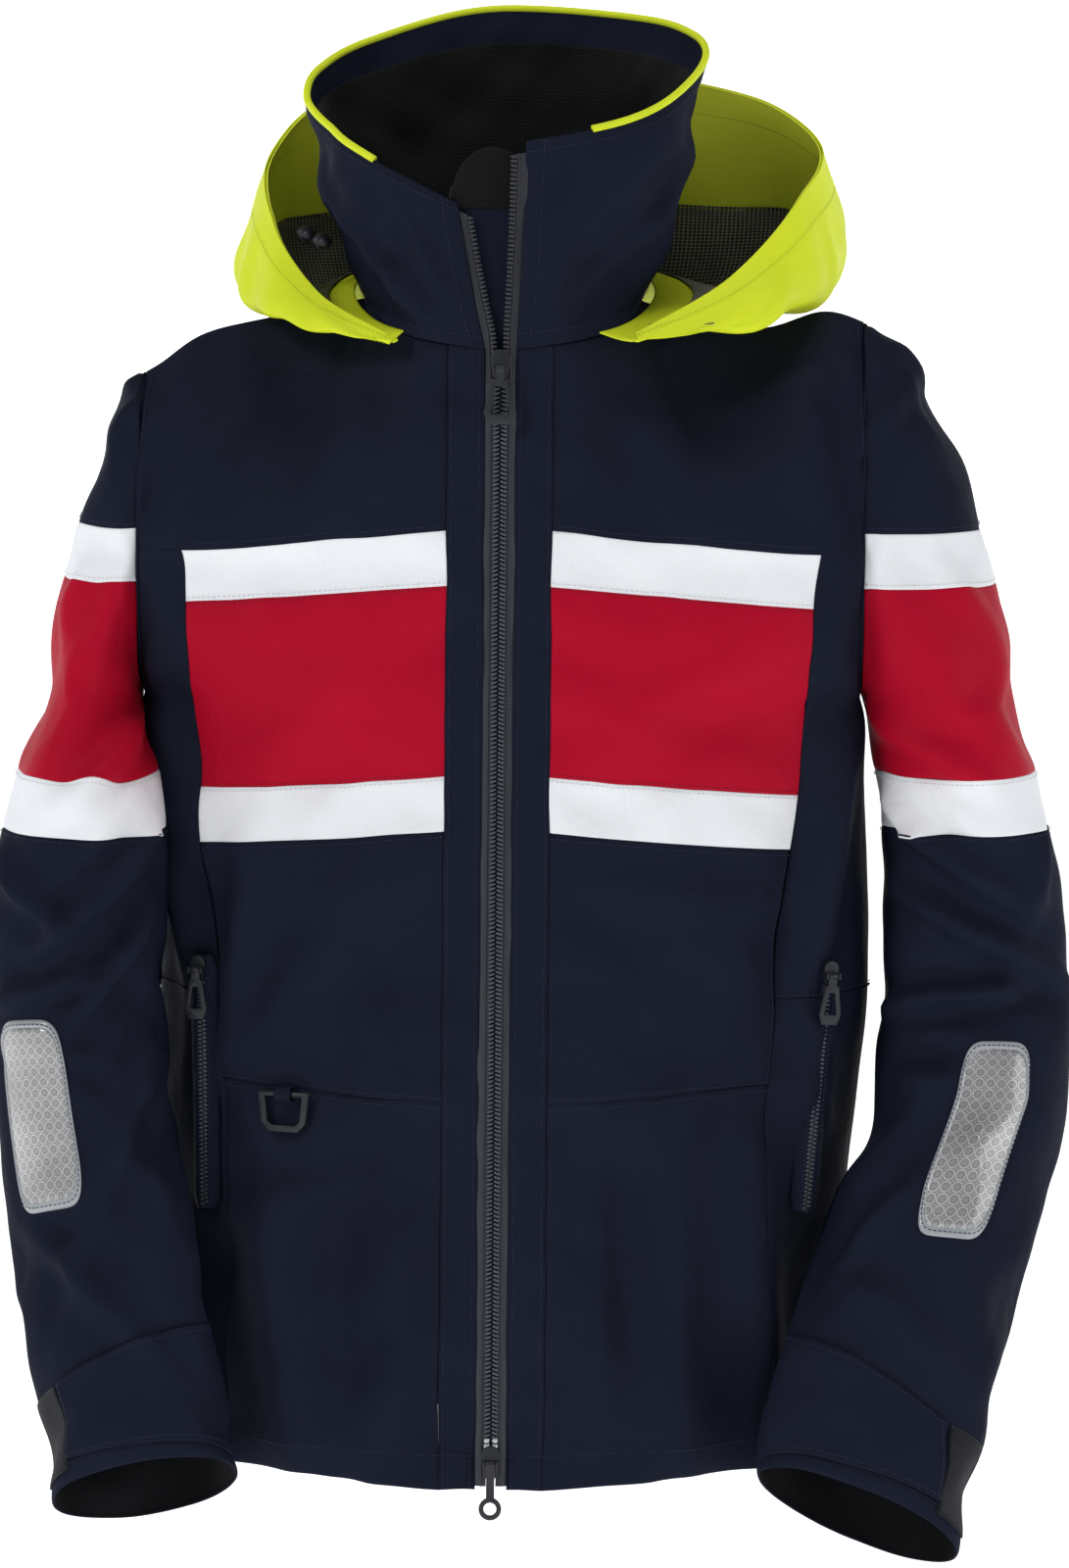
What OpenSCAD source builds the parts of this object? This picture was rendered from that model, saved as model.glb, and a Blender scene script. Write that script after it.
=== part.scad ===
/* [Body] */
// Height of the hem below the neck base
hem_z = -692; // [-720:1:-670]
// Half width of the neck ring at the collar seam
neck_w = 80; // [76:1:84]
// Front depth of the neck ring
neck_f = 92; // [88:1:94]
// Back depth of the neck ring
neck_b = 74; // [70:1:78]
// Exponent of the oval torso section
oval = 2.3; // [2.2:0.05:2.5]
// Thickness of the shell cloth with its lining
cloth = 2.4; // [1.6:0.1:2.6]
// Gap left at a sewn seam
seam = 0.8; // [0.7:0.1:1]

/* [Chest block] */
// Inner edge of the chest block from the centre line
block_in = 31; // [28:1:34]
// Outer edge of the chest block at its top
block_out = 186; // [182:1:188]
// Top of the upper white stripe at the inner edge
stripe_top = -132; // [-134:1:-128]
// Height of each white stripe
stripe_h = 32; // [28:1:34]
// Height of the red band
band_h = 111; // [104:1:112]
// Drop of the stripes from the inner to the outer edge
stripe_drop = 13; // [8:1:14]

/* [Collar] */
// Height of the collar above the seam at the back
collar_back = 150; // [140:1:156]
// Height of the collar at the closed left front
collar_left = 118; // [110:1:122]
// Height of the collar at the open right front
collar_right = 82; // [78:1:90]

/* [Front zip] */
// Half width of the toothed chain
chain_w = 2.8; // [2.4:0.1:3]
// Half width of the visible zip
zip_w = 9; // [8:0.5:9.5]
// Pitch of the teeth
tooth_pitch = 6; // [5:0.5:8]
// Length of the top pull
pull_len = 32; // [28:1:34]
// Bore radius of the ring on the bottom pull
ring_bore = 3.8; // [3.4:0.1:4]

/* [Hardware] */
// Width of the D-ring
dring_w = 32; // [28:1:34]
// Height of the D-ring
dring_h = 22; // [20:1:24]
// Wire thickness of the D-ring
dring_t = 3.6; // [3:0.2:4]
// Length of the hand pocket zips
pocket_len = 150; // [140:5:160]

/* [Sleeves] */
// Depth of the armhole
armhole_h = 103; // [100:1:104]
// Half width of the armhole
armhole_w = 72; // [70:1:74]
// Height of the cuff section
cuff_h = 78; // [70:1:84]

/* [Hidden] */

navy = "#1d2132";
red = "#a50c28";
white = "#e8ebf0";
lime = "#d6e628";
black = "#16171a";
zip_grey = "#3a3f4a";
metal = "#24262c";
patch_grey = "#a9adb0";

// Heights of the seams on the front
z_neck = -28;               // neck seam at the centre front
z_under = -236;             // underarm point
z_arm = z_under + armhole_h; // middle of the armhole
x_arm = 214.6;              // plane of the armhole ring
stripe_z = [stripe_top, stripe_top - stripe_h, stripe_top - stripe_h - band_h,
    stripe_top - 2 * stripe_h - band_h];
z_pocket = -466;            // pocket seam at the inner edge
shoulder = [213, 0, z_arm + armhole_h + 2];

// ---- small vector helpers ----
function mix(a, b, t) = a + (b - a) * t;
function clamp01(t) = min(1, max(0, t));
function unit(v) = v / norm(v);
function flip(p, s) = [s * p.x, p.y, p.z];
function steps(a, b, n) = [for (i = [0:n]) a + (b - a) * i / n];

// ---- torso surface ----
// Half width at height z; the right side is held in by the sleeve that hangs over it
function half_w(z, s) = s > 0
    ? lookup(z, [[-692, 200], [-600, 202], [-523, 205], [-470, 212], [-405, 219],
        [-300, 217], [-236, 212.5], [-30, 212.5]])
    : lookup(z, [[-692, 196], [-480, 199], [-300, 203], [-236, 212.5], [-30, 212.5]]);
// Depth of the front on the centre line, a straight line so that the zip slides on it
function front_d(z) = 98 + (z_neck - z) * 0.0453;
function back_d(z) = lookup(z, [[-692, 116], [-400, 110], [-200, 112], [-120, 104]]);
// Half width of the armhole opening at height z
function arm_y(z) = z < z_under ? 0
    : armhole_w * sqrt(max(0, 1 - pow((z - z_arm) / armhole_h, 2)));
// Point on the front (f = -1) or back (f = 1) at half angle a from the centre line
function torso_a(a, z, s, f) =
    let (d = f < 0 ? front_d(z) : back_d(z), r = arm_y(z))
    [half_w(z, s) * pow(sin(a), 2 / oval), f * (r + (d - r) * pow(cos(a), 2 / oval)), z];
// The angle that reaches x on the row at height z
function angle_of(x, z, s) = asin(pow(clamp01(x / half_w(z, s)), oval / 2));
function torso_x(x, z, s, f = -1) = torso_a(angle_of(x, z, s), z, s, f);

// ---- neck ring ----
// q runs from 0 at the centre front over 90 at the side to 180 at the back
function neck_z(q) = lookup(q, [[0, z_neck], [45, -20], [90, 0], [135, 18], [180, 24]]);
function neck(q) = [neck_w * sin(q), q < 90 ? -6 - neck_f * cos(q) : -6 - neck_b * cos(q),
    neck_z(q)];

// ---- yoke surface: from a row on the chest up to the neck and the shoulder seam ----
neck_u = 0.36;              // share of the top edge that is neckline
function yoke_top(u, f) = u < neck_u
    ? neck(f < 0 ? 90 * u / neck_u : 180 - 90 * u / neck_u)
    : mix(neck(90), shoulder, (u - neck_u) / (1 - neck_u));
function yoke_pt(u, v, z0, s, f) =
    let (bulge = (3 + 18 * u * u) * 4 * v * (1 - v),
        base = torso_a(90 * pow(u, 0.86), z0 - (f < 0 ? stripe_drop * clamp01(u * 1.3) : 0), s, f))
    mix(base, yoke_top(u, f), v) + [0, f * bulge, bulge * 0.7];

// ---- sheet and tube builders ----
// Normal of a grid at i, j from its neighbours
function grid_n(g, i, j) =
    let (i0 = max(0, i - 1), i1 = min(len(g) - 1, i + 1), j0 = max(0, j - 1),
        j1 = min(len(g[0]) - 1, j + 1))
    unit(cross(g[i1][j] - g[i0][j], g[i][j1] - g[i][j0]));
function ring_n(g, i, j) =
    let (m = len(g[0]), i0 = max(0, i - 1), i1 = min(len(g) - 1, i + 1))
    unit(cross(g[i1][j] - g[i0][j], g[i][(j + 1) % m] - g[i][(j + m - 1) % m]));
function flat(g) = [for (r = g) for (p = r) p];

// A closed sheet: outer grid g, and the same grid moved by t along its normals
module sheet(g, t) {
    n = len(g);
    m = len(g[0]);
    k = n * m;
    inner = [for (i = [0:n - 1]) for (j = [0:m - 1]) g[i][j] - t * grid_n(g, i, j)];
    faces = [
        for (i = [0:n - 2]) for (j = [0:m - 2])
            [i * m + j, i * m + j + 1, (i + 1) * m + j + 1, (i + 1) * m + j],
        for (i = [0:n - 2]) for (j = [0:m - 2])
            [k + (i + 1) * m + j, k + (i + 1) * m + j + 1, k + i * m + j + 1, k + i * m + j],
        for (i = [0:n - 2]) [i * m, (i + 1) * m, k + (i + 1) * m, k + i * m],
        for (i = [0:n - 2]) [k + i * m + m - 1, k + (i + 1) * m + m - 1,
            (i + 1) * m + m - 1, i * m + m - 1],
        for (j = [0:m - 2]) [j + 1, j, k + j, k + j + 1],
        for (j = [0:m - 2]) [(n - 1) * m + j, (n - 1) * m + j + 1,
            k + (n - 1) * m + j + 1, k + (n - 1) * m + j]];
    polyhedron(points = concat(flat(g), inner), faces = faces, convexity = 6);
}

// A closed tube wall: outer rings g, and the same rings moved by t along their normals
module tube(g, t) {
    n = len(g);
    m = len(g[0]);
    k = n * m;
    inner = [for (i = [0:n - 1]) for (j = [0:m - 1]) g[i][j] - t * ring_n(g, i, j)];
    faces = [
        for (i = [0:n - 2]) for (j = [0:m - 1]) let (e = (j + 1) % m)
            [i * m + j, i * m + e, (i + 1) * m + e, (i + 1) * m + j],
        for (i = [0:n - 2]) for (j = [0:m - 1]) let (e = (j + 1) % m)
            [k + (i + 1) * m + j, k + (i + 1) * m + e, k + i * m + e, k + i * m + j],
        for (j = [0:m - 1]) let (e = (j + 1) % m) [e, j, k + j, k + e],
        for (j = [0:m - 1]) let (e = (j + 1) % m)
            [(n - 1) * m + j, (n - 1) * m + e, k + (n - 1) * m + e, k + (n - 1) * m + j]];
    polyhedron(points = concat(flat(g), inner), faces = faces, convexity = 6);
}

// Places its children in the frame with axes ex, ey, ez at o
module place(o, ex, ey, ez) {
    multmatrix([[ex.x, ey.x, ez.x, o.x], [ex.y, ey.y, ez.y, o.y], [ex.z, ey.z, ez.z, o.z]])
        children();
}
// Draws its children for the left side, mirrored on the right side
module side(s) {
    if (s > 0) children();
    else mirror([1, 0, 0]) children();
}

// ---- front panels ----
// A panel between two x edges and two seam heights; both are functions of the other
module front_patch(s, x0, x1, z0, z1, n, m) {
    rows = [for (i = [0:n]) [for (j = [0:m])
        let (xa = x0(mix(z0(0), z1(0), i / n)) + seam / 2,
            xb = x1(mix(z0(1), z1(1), i / n)) - seam / 2,
            x = mix(xa, xb, j / m), w = j / m,
            z = mix(mix(z0(0), z0(1), w) - seam / 2, mix(z1(0), z1(1), w) + seam / 2, i / n))
        torso_x(min(x, half_w(z, s) - 0.5), z, s)]];
    side(s) sheet(rows, cloth);
}
function outer_x(z) = lookup(z, [[-462, 162], [-330, 174], [-290, 179], [-176, 183],
    [stripe_top, block_out]]);
drop = stripe_drop;

module placket(s) {
    color(navy) front_patch(s, function (z) zip_w, function (z) block_in,
        function (w) z_neck - 1, function (w) hem_z, 22, 2);
}
module stripes(s) {
    color(white) for (k = [0, 2])
        front_patch(s, function (z) block_in, function (z) outer_x(z),
            function (w) stripe_z[k] - drop * w, function (w) stripe_z[k + 1] - drop * w, 2, 12);
}
module band(s) {
    color(red) front_patch(s, function (z) block_in, function (z) outer_x(z),
        function (w) stripe_z[1] - drop * w, function (w) stripe_z[2] - drop * w, 6, 12);
}
module front_panel(s) {
    color(navy) {
        front_patch(s, function (z) block_in, function (z) outer_x(z),
            function (w) stripe_z[3] - drop * w, function (w) z_pocket + 8 * w, 6, 10);
        front_patch(s, function (z) block_in, function (z) 162,
            function (w) z_pocket + 8 * w, function (w) hem_z + 5 * w, 8, 10);
    }
}
// The side panel runs from the front seam round to the back seam
module side_panel(s) {
    low = [for (z = steps(z_under - 1, hem_z + 5, 15)) [for (j = [0:12])
        let (a0 = angle_of(outer_x(max(z, -462)) + seam / 2, z, s))
        j <= 6 ? torso_a(mix(a0, 90, j / 6), z, s, -1)
        : torso_a(mix(90, 62, (j - 6) / 6), z, s, 1)]];
    high = [for (z = steps(-146, z_under - 1 + seam, 4)) [for (j = [0:4])
        torso_a(mix(angle_of(outer_x(z) + seam / 2, z, s), 90, j / 4), z, s, -1)]];
    color(navy) side(s) {
        sheet(low, cloth);
        sheet(high, cloth);
    }
}

// Share u at which the yoke row v reaches x, found by halving the interval
function yoke_u(x, v, s, lo = 0, hi = 0.6, k = 14) =
    let (m = (lo + hi) / 2)
    k == 0 ? m
    : yoke_pt(m, v, stripe_top, s, -1).x < x ? yoke_u(x, v, s, m, hi, k - 1)
    : yoke_u(x, v, s, lo, m, k - 1);
module front_yoke(s) {
    rows = [for (v = steps(yoke_v1, 0, 8)) let (u0 = yoke_u(block_in + seam, v, s))
        [for (j = [0:14]) yoke_pt(mix(u0, 0.998, j / 14), v, stripe_top + 2 * seam, s, -1)]];
    color(navy) side(s) sheet(rows, cloth);
}
yoke_v1 = 0.982;            // the yokes stop just short of the shoulder seam
yoke_back_z = -110;         // seam between the back yoke and the back panel
module back_yoke() {
    rows = [for (v = steps(yoke_v1, 0.004, 8)) [for (j = [-14:14])
        let (u = 0.998 * abs(j) / 14, s = j < 0 ? 1 : -1)
        flip(yoke_pt(u, v, yoke_back_z, s, 1), s)]];
    color(navy) sheet(rows, cloth);
}
back_seam = 62;             // half angle of the seam between back and side panel
module back_panel() {
    low = [for (z = steps(z_under - 1, hem_z + 4, 14)) [for (j = [-9:9])
        let (s = j < 0 ? 1 : -1)
        flip(torso_a((back_seam - 0.3) * abs(j) / 9, z, s, 1), s)]];
    high = [for (z = steps(yoke_back_z - 1.4, z_under - 1 + seam, 5)) [for (j = [-10:10])
        let (s = j < 0 ? 1 : -1)
        flip(torso_a(89.5 * abs(j) / 10, z, s, 1), s)]];
    color(navy) {
        sheet(low, cloth);
        sheet(high, cloth);
    }
}

// ---- front zip ----
zip_up = unit([0, 0.0453, 1]);
zip_out = unit([0, -1, 0.0453]);
zip_len = (z_neck - hem_z - 4) / zip_up.z;
// Places its children on the zip line at height z: X across, Y up the zip, Z outward
module on_zip(z) {
    place([0, -front_d(z), z], [1, 0, 0], zip_up, zip_out) children();
}
module zip_tape(s) {
    color(zip_grey) side(s) on_zip(z_neck - 2)
        translate([chain_w + 0.3, -zip_len, -0.6]) cube([zip_w - chain_w - 0.6, zip_len, 1.2]);
}
module zip_teeth(s) {
    n = floor((zip_len - 6) / tooth_pitch);
    tooth = tooth_pitch * 0.4;
    phase = s > 0 ? 0 : tooth_pitch / 2;
    comb = [for (i = [0:n - 1]) let (y = -i * tooth_pitch - phase)
        each [[chain_w - 0.8, y], [-1.2, y], [-1.2, y - tooth], [chain_w - 0.8, y - tooth]]];
    color(zip_grey) side(s) on_zip(z_neck - 2) translate([0, 0, -1.2]) linear_extrude(2.4)
        polygon(concat([[chain_w, 0], [chain_w - 0.8, 0]], comb,
            [[chain_w - 0.8, -zip_len + 1], [chain_w, -zip_len + 1]]));
}

// ---- sliders and pulls; X across, Y up, Z outward, pivot at [0, 0, pivot_h] ----
pivot_h = 8;
module slider_body(w, l) {
    translate([0, 0, 2]) linear_extrude(3.4) hull() {
        translate([0, l * 0.35]) circle(d = w, $fn = 32);
        translate([0, -l * 0.45]) circle(d = w * 0.62, $fn = 32);
    }
    for (s = [-1, 1]) translate([s * 3.9 - 0.6, -1.8, 5.2]) cube([1.2, 3.6, pivot_h - 3.4]);
    translate([-4.5, 0, pivot_h]) rotate([0, 90, 0]) cylinder(r = 0.9, h = 9, $fn = 24);
}
// Eye that hangs on the slider's pin
module pull_eye() {
    difference() {
        union() {
            translate([-2.7, 0, pivot_h]) rotate([0, 90, 0]) cylinder(r = 2, h = 5.4, $fn = 32);
            translate([-2.7, -7, pivot_h - 1]) cube([5.4, 6, 2]);
        }
        translate([-3, 0, pivot_h]) rotate([0, 90, 0]) cylinder(r = 1.2, h = 6, $fn = 32);
    }
}
// A tapered pull with a window
module window_pull(l, w) {
    pull_eye();
    translate([0, 0, pivot_h - 1]) linear_extrude(2) difference() {
        polygon([[-w * 0.3, -6], [w * 0.3, -6], [w * 0.5, -l + 6], [w * 0.34, -l],
            [-w * 0.34, -l], [-w * 0.5, -l + 6]]);
        polygon([[-w * 0.14, -10], [w * 0.14, -10], [w * 0.28, -l + 6], [-w * 0.28, -l + 6]]);
    }
}
module ring_pull(l) {
    pull_eye();
    translate([0, 0, pivot_h - 1]) difference() {
        union() {
            translate([-2.4, -l + 5, 0]) cube([4.8, l - 10, 2]);
            translate([0, -l, 0]) cylinder(r = ring_bore + 2.8, h = 2, $fn = 48);
        }
        translate([0, -l, -1]) cylinder(r = ring_bore, h = 4, $fn = 48);
    }
}
top_slider_z = -38;
low_slider_z = -676;
module front_slider() { color(metal) on_zip(top_slider_z) slider_body(12, 15); }
module front_pull() { color(metal) on_zip(top_slider_z) window_pull(pull_len, 19); }
module bottom_slider() { color(metal) on_zip(low_slider_z) slider_body(11, 14); }
module bottom_pull() { color(metal) on_zip(low_slider_z) ring_pull(26); }

// ---- hand pocket zips, each along a straight line just outside the side seam ----
pocket_top_z = -386;
function pocket_x(s) = s > 0 ? 194 : 173;
function pocket_a(s) = torso_x(pocket_x(s), pocket_top_z, s);
function pocket_b(s) = let (z = pocket_top_z - pocket_len)
    torso_x(pocket_x(s) - (s > 0 ? 12 : 3), z, s);
function pocket_up(s) = unit(pocket_a(s) - pocket_b(s));
// The zip faces further forward than the cloth under it, so that the pull swings clear
function pocket_n(s) = let (a = pocket_a(s), b = torso_x(a.x + 4, a.z, s), up = pocket_up(s),
    n = unit(cross(up, a - b)) + [0, -1.1, 0])
    unit(n - (n * up) * up);
pocket_lift = 3.8;          // height of the chain's middle over the cloth
// Places its children on the pocket line, t millimetres below its top
module on_pocket(s, t) {
    side(s) place(pocket_a(s) - t * pocket_up(s) + pocket_lift * pocket_n(s),
        cross(pocket_up(s), pocket_n(s)), pocket_up(s), pocket_n(s)) children();
}
module pocket_zip(s) {
    color(zip_grey) on_pocket(s, 0) translate([-4.5, -pocket_len, -1])
        cube([9, pocket_len, 2]);
}
module pocket_slider(s) { color(metal) on_pocket(s, 8) slider_body(9, 11); }
module pocket_pull(s) { color(metal) on_pocket(s, 8) window_pull(pull_len - 3, 14); }
// Two flat bags that hang inside behind the lower front
module pocket_bags() {
    for (s = [-1, 1]) {
        rows = [for (z = steps(-385, -570, 5)) [for (x = steps(60, 150, 6))
            torso_x(x, z, s) + [0, 7, 0]]];
        color(black) side(s) sheet(rows, 1.2);
    }
}

// ---- D-ring on its webbing loop, below the right pocket seam ----
dring_x = 121;
dring_z = -463;
function dring_p() = torso_x(dring_x, dring_z, -1);
function dring_ex() = let (v = torso_x(dring_x + 5, dring_z, -1) - dring_p())
    unit([v.x, v.y, 0]);
module on_dring() {
    side(-1) place(dring_p(), dring_ex(), [0, 0, 1], cross(dring_ex(), [0, 0, 1])) children();
}
dring_off = 5.6;            // height of the ring's bar over the cloth
module d_ring() {
    w = dring_w;
    h = dring_h;
    t = dring_t;
    color(metal) on_dring() translate([0, 0, dring_off]) {
        translate([-w / 2, 0, 0]) rotate([0, 90, 0]) cylinder(d = t, h = w, $fn = 32);
        translate([0, 0, -t / 2]) linear_extrude(t) difference() {
            polygon([[-w / 2, 0], [w / 2, 0], [w / 2 - 2, -h + 5], [w / 2 - 7, -h],
                [-w / 2 + 7, -h], [-w / 2 + 2, -h + 5]]);
            polygon([[-w / 2 + t, 1], [w / 2 - t, 1], [w / 2 - t - 2, -h + 6],
                [w / 2 - t - 5, -h + t], [-w / 2 + t + 5, -h + t], [-w / 2 + t + 2, -h + 6]]);
        }
    }
}
module d_ring_loop() {
    color(navy) on_dring() translate([6, 0, dring_off]) rotate([0, -90, 0]) linear_extrude(12)
        difference() {
            union() {
                circle(r = 4.2, $fn = 48);
                translate([-4.2, 0]) square([1.2, 13]);
                translate([-4.2, 3.4]) square([6, 1.2]);
            }
            circle(r = 3, $fn = 48);
        }
}

// ---- collar: q runs 0..360 from the centre front over the left side ----
function rim_z(q, s) = s > 0
    ? lookup(q, [[0, collar_left - 25], [35, collar_left - 12], [90, 146], [135, 166],
        [180, collar_back + 22]])
    : lookup(q, [[0, collar_right - 29], [35, collar_right], [90, 122], [135, 152],
        [180, collar_back + 22]]);
function collar_pt(q, v) =
    let (s = q <= 180 ? 1 : -1, h = q <= 180 ? q : 360 - q, n = neck(h),
        open = s < 0 ? 14 * max(0, 1 - h / 60) : 0,
        rim = [119 * sin(h) + open, h < 90 ? -5 - 88 * cos(h) + open * 0.4 : -5 - 98 * cos(h),
            rim_z(h, s)],
        swell = 7 * sin(h) * 4 * v * (1 - v))
    flip(mix(n, rim, v) + [swell, 0, 0], s);
collar_q = steps(6.6, 353.4, 44);
function collar_rows(v0, v1, n) = [for (v = steps(v1, v0, n)) [for (q = collar_q)
    collar_pt(q, v)]];
// The same grid moved inward by d
function inset(g, d) = [for (i = [0:len(g) - 1]) [for (j = [0:len(g[0]) - 1])
    g[i][j] - d * grid_n(g, i, j)]];
module collar_shell() { color(navy) sheet(collar_rows(0.01, 0.975, 7), cloth - 0.4); }
module collar_lining() { color(black) sheet(inset(collar_rows(0.02, 0.96, 5), cloth + 0.4), 1.2); }
module collar_piping() {
    rows = [for (v = [1.012, 0.984]) [for (q = steps(28, 322, 36)) collar_pt(q, v)]];
    color(lime) sheet(rows, 3);
}
// The flap behind the zip runs from the hem up into the collar
flap_top = 58;
function flap_y(z) = z > z_neck ? mix(-91, -80, (z - z_neck) / 120) : -front_d(z) + 7;
module storm_flap() {
    rows = [for (z = concat([flap_top, 20], steps(z_neck, hem_z + 8, 6)))
        [for (x = [-17, 0, 17]) [x - 6 * max(0, z) / flap_top, flap_y(z), z]]];
    color(navy) sheet(rows, 1.2);
}
module chin_guard() {
    color(black) translate([-6, flap_y(flap_top) + 1.6, flap_top + 1]) rotate([90, 0, 0])
        linear_extrude(1.6) intersection() {
            scale([1, 1.3]) circle(r = 24, $fn = 48);
            translate([-24, 0]) square([48, 40]);
        }
}
module hanger_loop() {
    color(black) translate([0, 59, 5]) rotate([90, 0, 0]) linear_extrude(1.2) difference() {
        hull() for (x = [-26, 26]) translate([x, 0]) circle(r = 8, $fn = 32);
        hull() for (x = [-26, 26]) translate([x, 0]) circle(r = 4.5, $fn = 32);
    }
}

// ---- hood: a gutter that lies open round the collar ----
// Rim, lowest line and neck seam by angle q, for each side
function hood_rim(h, s) = s > 0
    ? [lookup(h, [[40, 78], [60, 132], [90, 174], [120, 189], [145, 150], [180, 0]]),
        lookup(h, [[40, -88], [60, -52], [90, 8], [120, 62], [145, 104], [180, 124]]),
        lookup(h, [[40, -17], [60, 14], [90, 60], [120, 86], [145, 118], [180, 138]])]
    : [lookup(h, [[40, 60], [60, 108], [90, 138], [120, 146], [145, 126], [180, 0]]),
        lookup(h, [[40, -92], [60, -58], [90, 2], [120, 56], [145, 100], [180, 124]]),
        lookup(h, [[40, -22], [60, 4], [90, 44], [120, 72], [145, 106], [180, 138]])];
function hood_low(h, s) =
    let (w = s > 0 ? 1 : 0.8)
    [w * lookup(h, [[40, 84], [60, 190], [90, 258], [120, 260], [145, 190], [180, 0]]),
        lookup(h, [[40, -98], [60, -88], [90, 0], [120, 110], [145, 185], [180, 228]]),
        lookup(h, [[40, -26], [60, -30], [90, -34], [120, -46], [145, -80], [180, -112]])];
function hood_seam(h) = let (n = neck(h)) [n.x * 1.11, -6 + (n.y + 6) * 1.1, n.z + 4];
function hood_pt(q, w) =
    let (s = q <= 180 ? 1 : -1, h = q <= 180 ? q : 360 - q)
    flip((1 - w) * (1 - w) * hood_rim(h, s) + 2 * w * (1 - w) * hood_low(h, s)
        + w * w * hood_seam(h), s);
hood_rows = [for (w = steps(0, 1, 9)) [for (q = steps(40, 320, 36)) hood_pt(q, w)]];
module hood_shell() { color(lime) sheet(hood_rows, 1.4); }
module hood_lining() {
    g = inset([for (i = [1:8]) [for (j = [3:33]) hood_rows[i][j]]], 3.4);
    color(black) sheet(g, 0.8);
}
module hood_cord_locks() {
    color(black) for (p = [[-112, -20, 30], [-122, -8, 34]])
        translate(p) rotate([90, 0, 20]) {
            cylinder(r = 5, h = 9, center = true, $fn = 32);
            translate([0, 0, 4]) sphere(r = 4.2, $fn = 32);
        }
}

// ---- sleeves ----
sleeve_end = [-690, -702];  // height of the cuff's middle, right and left
function sleeve_z1(s) = sleeve_end[s > 0 ? 1 : 0];
function outline_x(z, s) = s > 0
    ? lookup(z, [[-276, 320], [-222, 307], [-168, 294], [-134, 284], [-100, 274], [-65, 256],
        [-42, 242], [-35, 229], [-31, 217]])
    : lookup(z, [[-267, 278], [-222, 268], [-164, 257], [-130, 249], [-88, 237], [-55, 228],
        [-38, 221], [-31, 216.5]]);
// Centre x, centre y, half width, half depth of the sleeve below the underarm
function arm_c(z, s) = s > 0
    ? [lookup(z, [[-702, 214], [-655, 223], [-610, 238], [-560, 254], [-523, 265], [-480, 280],
            [-410, 285], [-350, 283], [-284, 272.8], [-237, 262.8]]),
        lookup(z, [[-702, -136], [-610, -90], [-560, -66], [-523, -48], [-480, -28],
            [-410, -8], [-284, -8], [-237, -5]]),
        lookup(z, [[-702, 60], [-560, 63], [-480, 59], [-410, 55.5], [-350, 52],
            [-284, 47.5], [-237, 48]]),
        lookup(z, [[-702, 40], [-655, 41], [-610, 46], [-560, 52], [-480, 57], [-284, 62],
            [-237, 64]])]
    : [lookup(z, [[-690, 200], [-650, 209], [-600, 221], [-540, 231], [-480, 241],
            [-410, 248], [-350, 248], [-284, 242], [-237, 243]]),
        lookup(z, [[-690, -146], [-650, -130], [-600, -113], [-540, -95], [-480, -80],
            [-410, -70], [-350, -70], [-284, -68], [-237, -46]]),
        lookup(z, [[-690, 54], [-600, 54], [-480, 52], [-350, 51], [-284, 41], [-237, 28]]),
        lookup(z, [[-690, 41], [-600, 46], [-540, 51], [-480, 56], [-350, 60], [-237, 66]])];
function arm_tilt(z) = lookup(z, [[-702, 35], [-650, 33], [-560, 28], [-480, 20], [-410, 8],
    [-320, 0]]);
// How far the rings hang lower on the outside, as a slope across the sleeve
function arm_lean(z, s) = lookup(z, [[-702, s > 0 ? 0.38 : 0.2], [-560, 0]]);
// Point of the closed part; p is 0 on the outside, 90 at the back, 270 at the front
function arm_pt(p, z, s) =
    let (c = arm_c(z, s), t = arm_tilt(z), k = clamp01((z_under - z) / 55))
    [c[0] + c[2] * cos(p), c[1] * mix((1 + cos(p)) / 2, 1, k) + c[3] * sin(p) * cos(t),
        z - c[3] * sin(p) * sin(t) - arm_lean(z, s) * c[2] * cos(p)];
// Point of the sleeve head; w runs -1 at the front of the armhole to 1 at its back
function head_pt(w, z, s) =
    let (xo = outline_x(z, s), ay = arm_y(z), low = z < z_arm,
        b = low ? mix(armhole_w, arm_c(-237, s)[3], (z_arm - z) / armhole_h) : ay,
        cut = low ? 180 - asin(min(1, ay / b)) : 90,
        a = (xo - x_arm) / (1 - cos(cut)), p = w * cut,
        g = (cos(p) - cos(cut)) / (1 - cos(cut)),
        shift = lookup(z, [[z_under, arm_c(-237, s)[1]], [-133, arm_c(-237, s)[1] * 0.25], [-60, 0]]))
    [xo - a + a * cos(p), shift * g + b * sin(p), z];
module head_part(s, za, zb, n) {
    side(s) sheet([for (z = steps(za, zb, n)) [for (j = [-9:9]) head_pt(j / 9, z, s)]], cloth);
}
module arm_part(s, za, zb, n) {
    rings = [for (z = steps(za, zb, n)) [for (j = [0:23]) arm_pt(j * 15, z, s)]];
    side(s) tube(rings, cloth);
}
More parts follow.
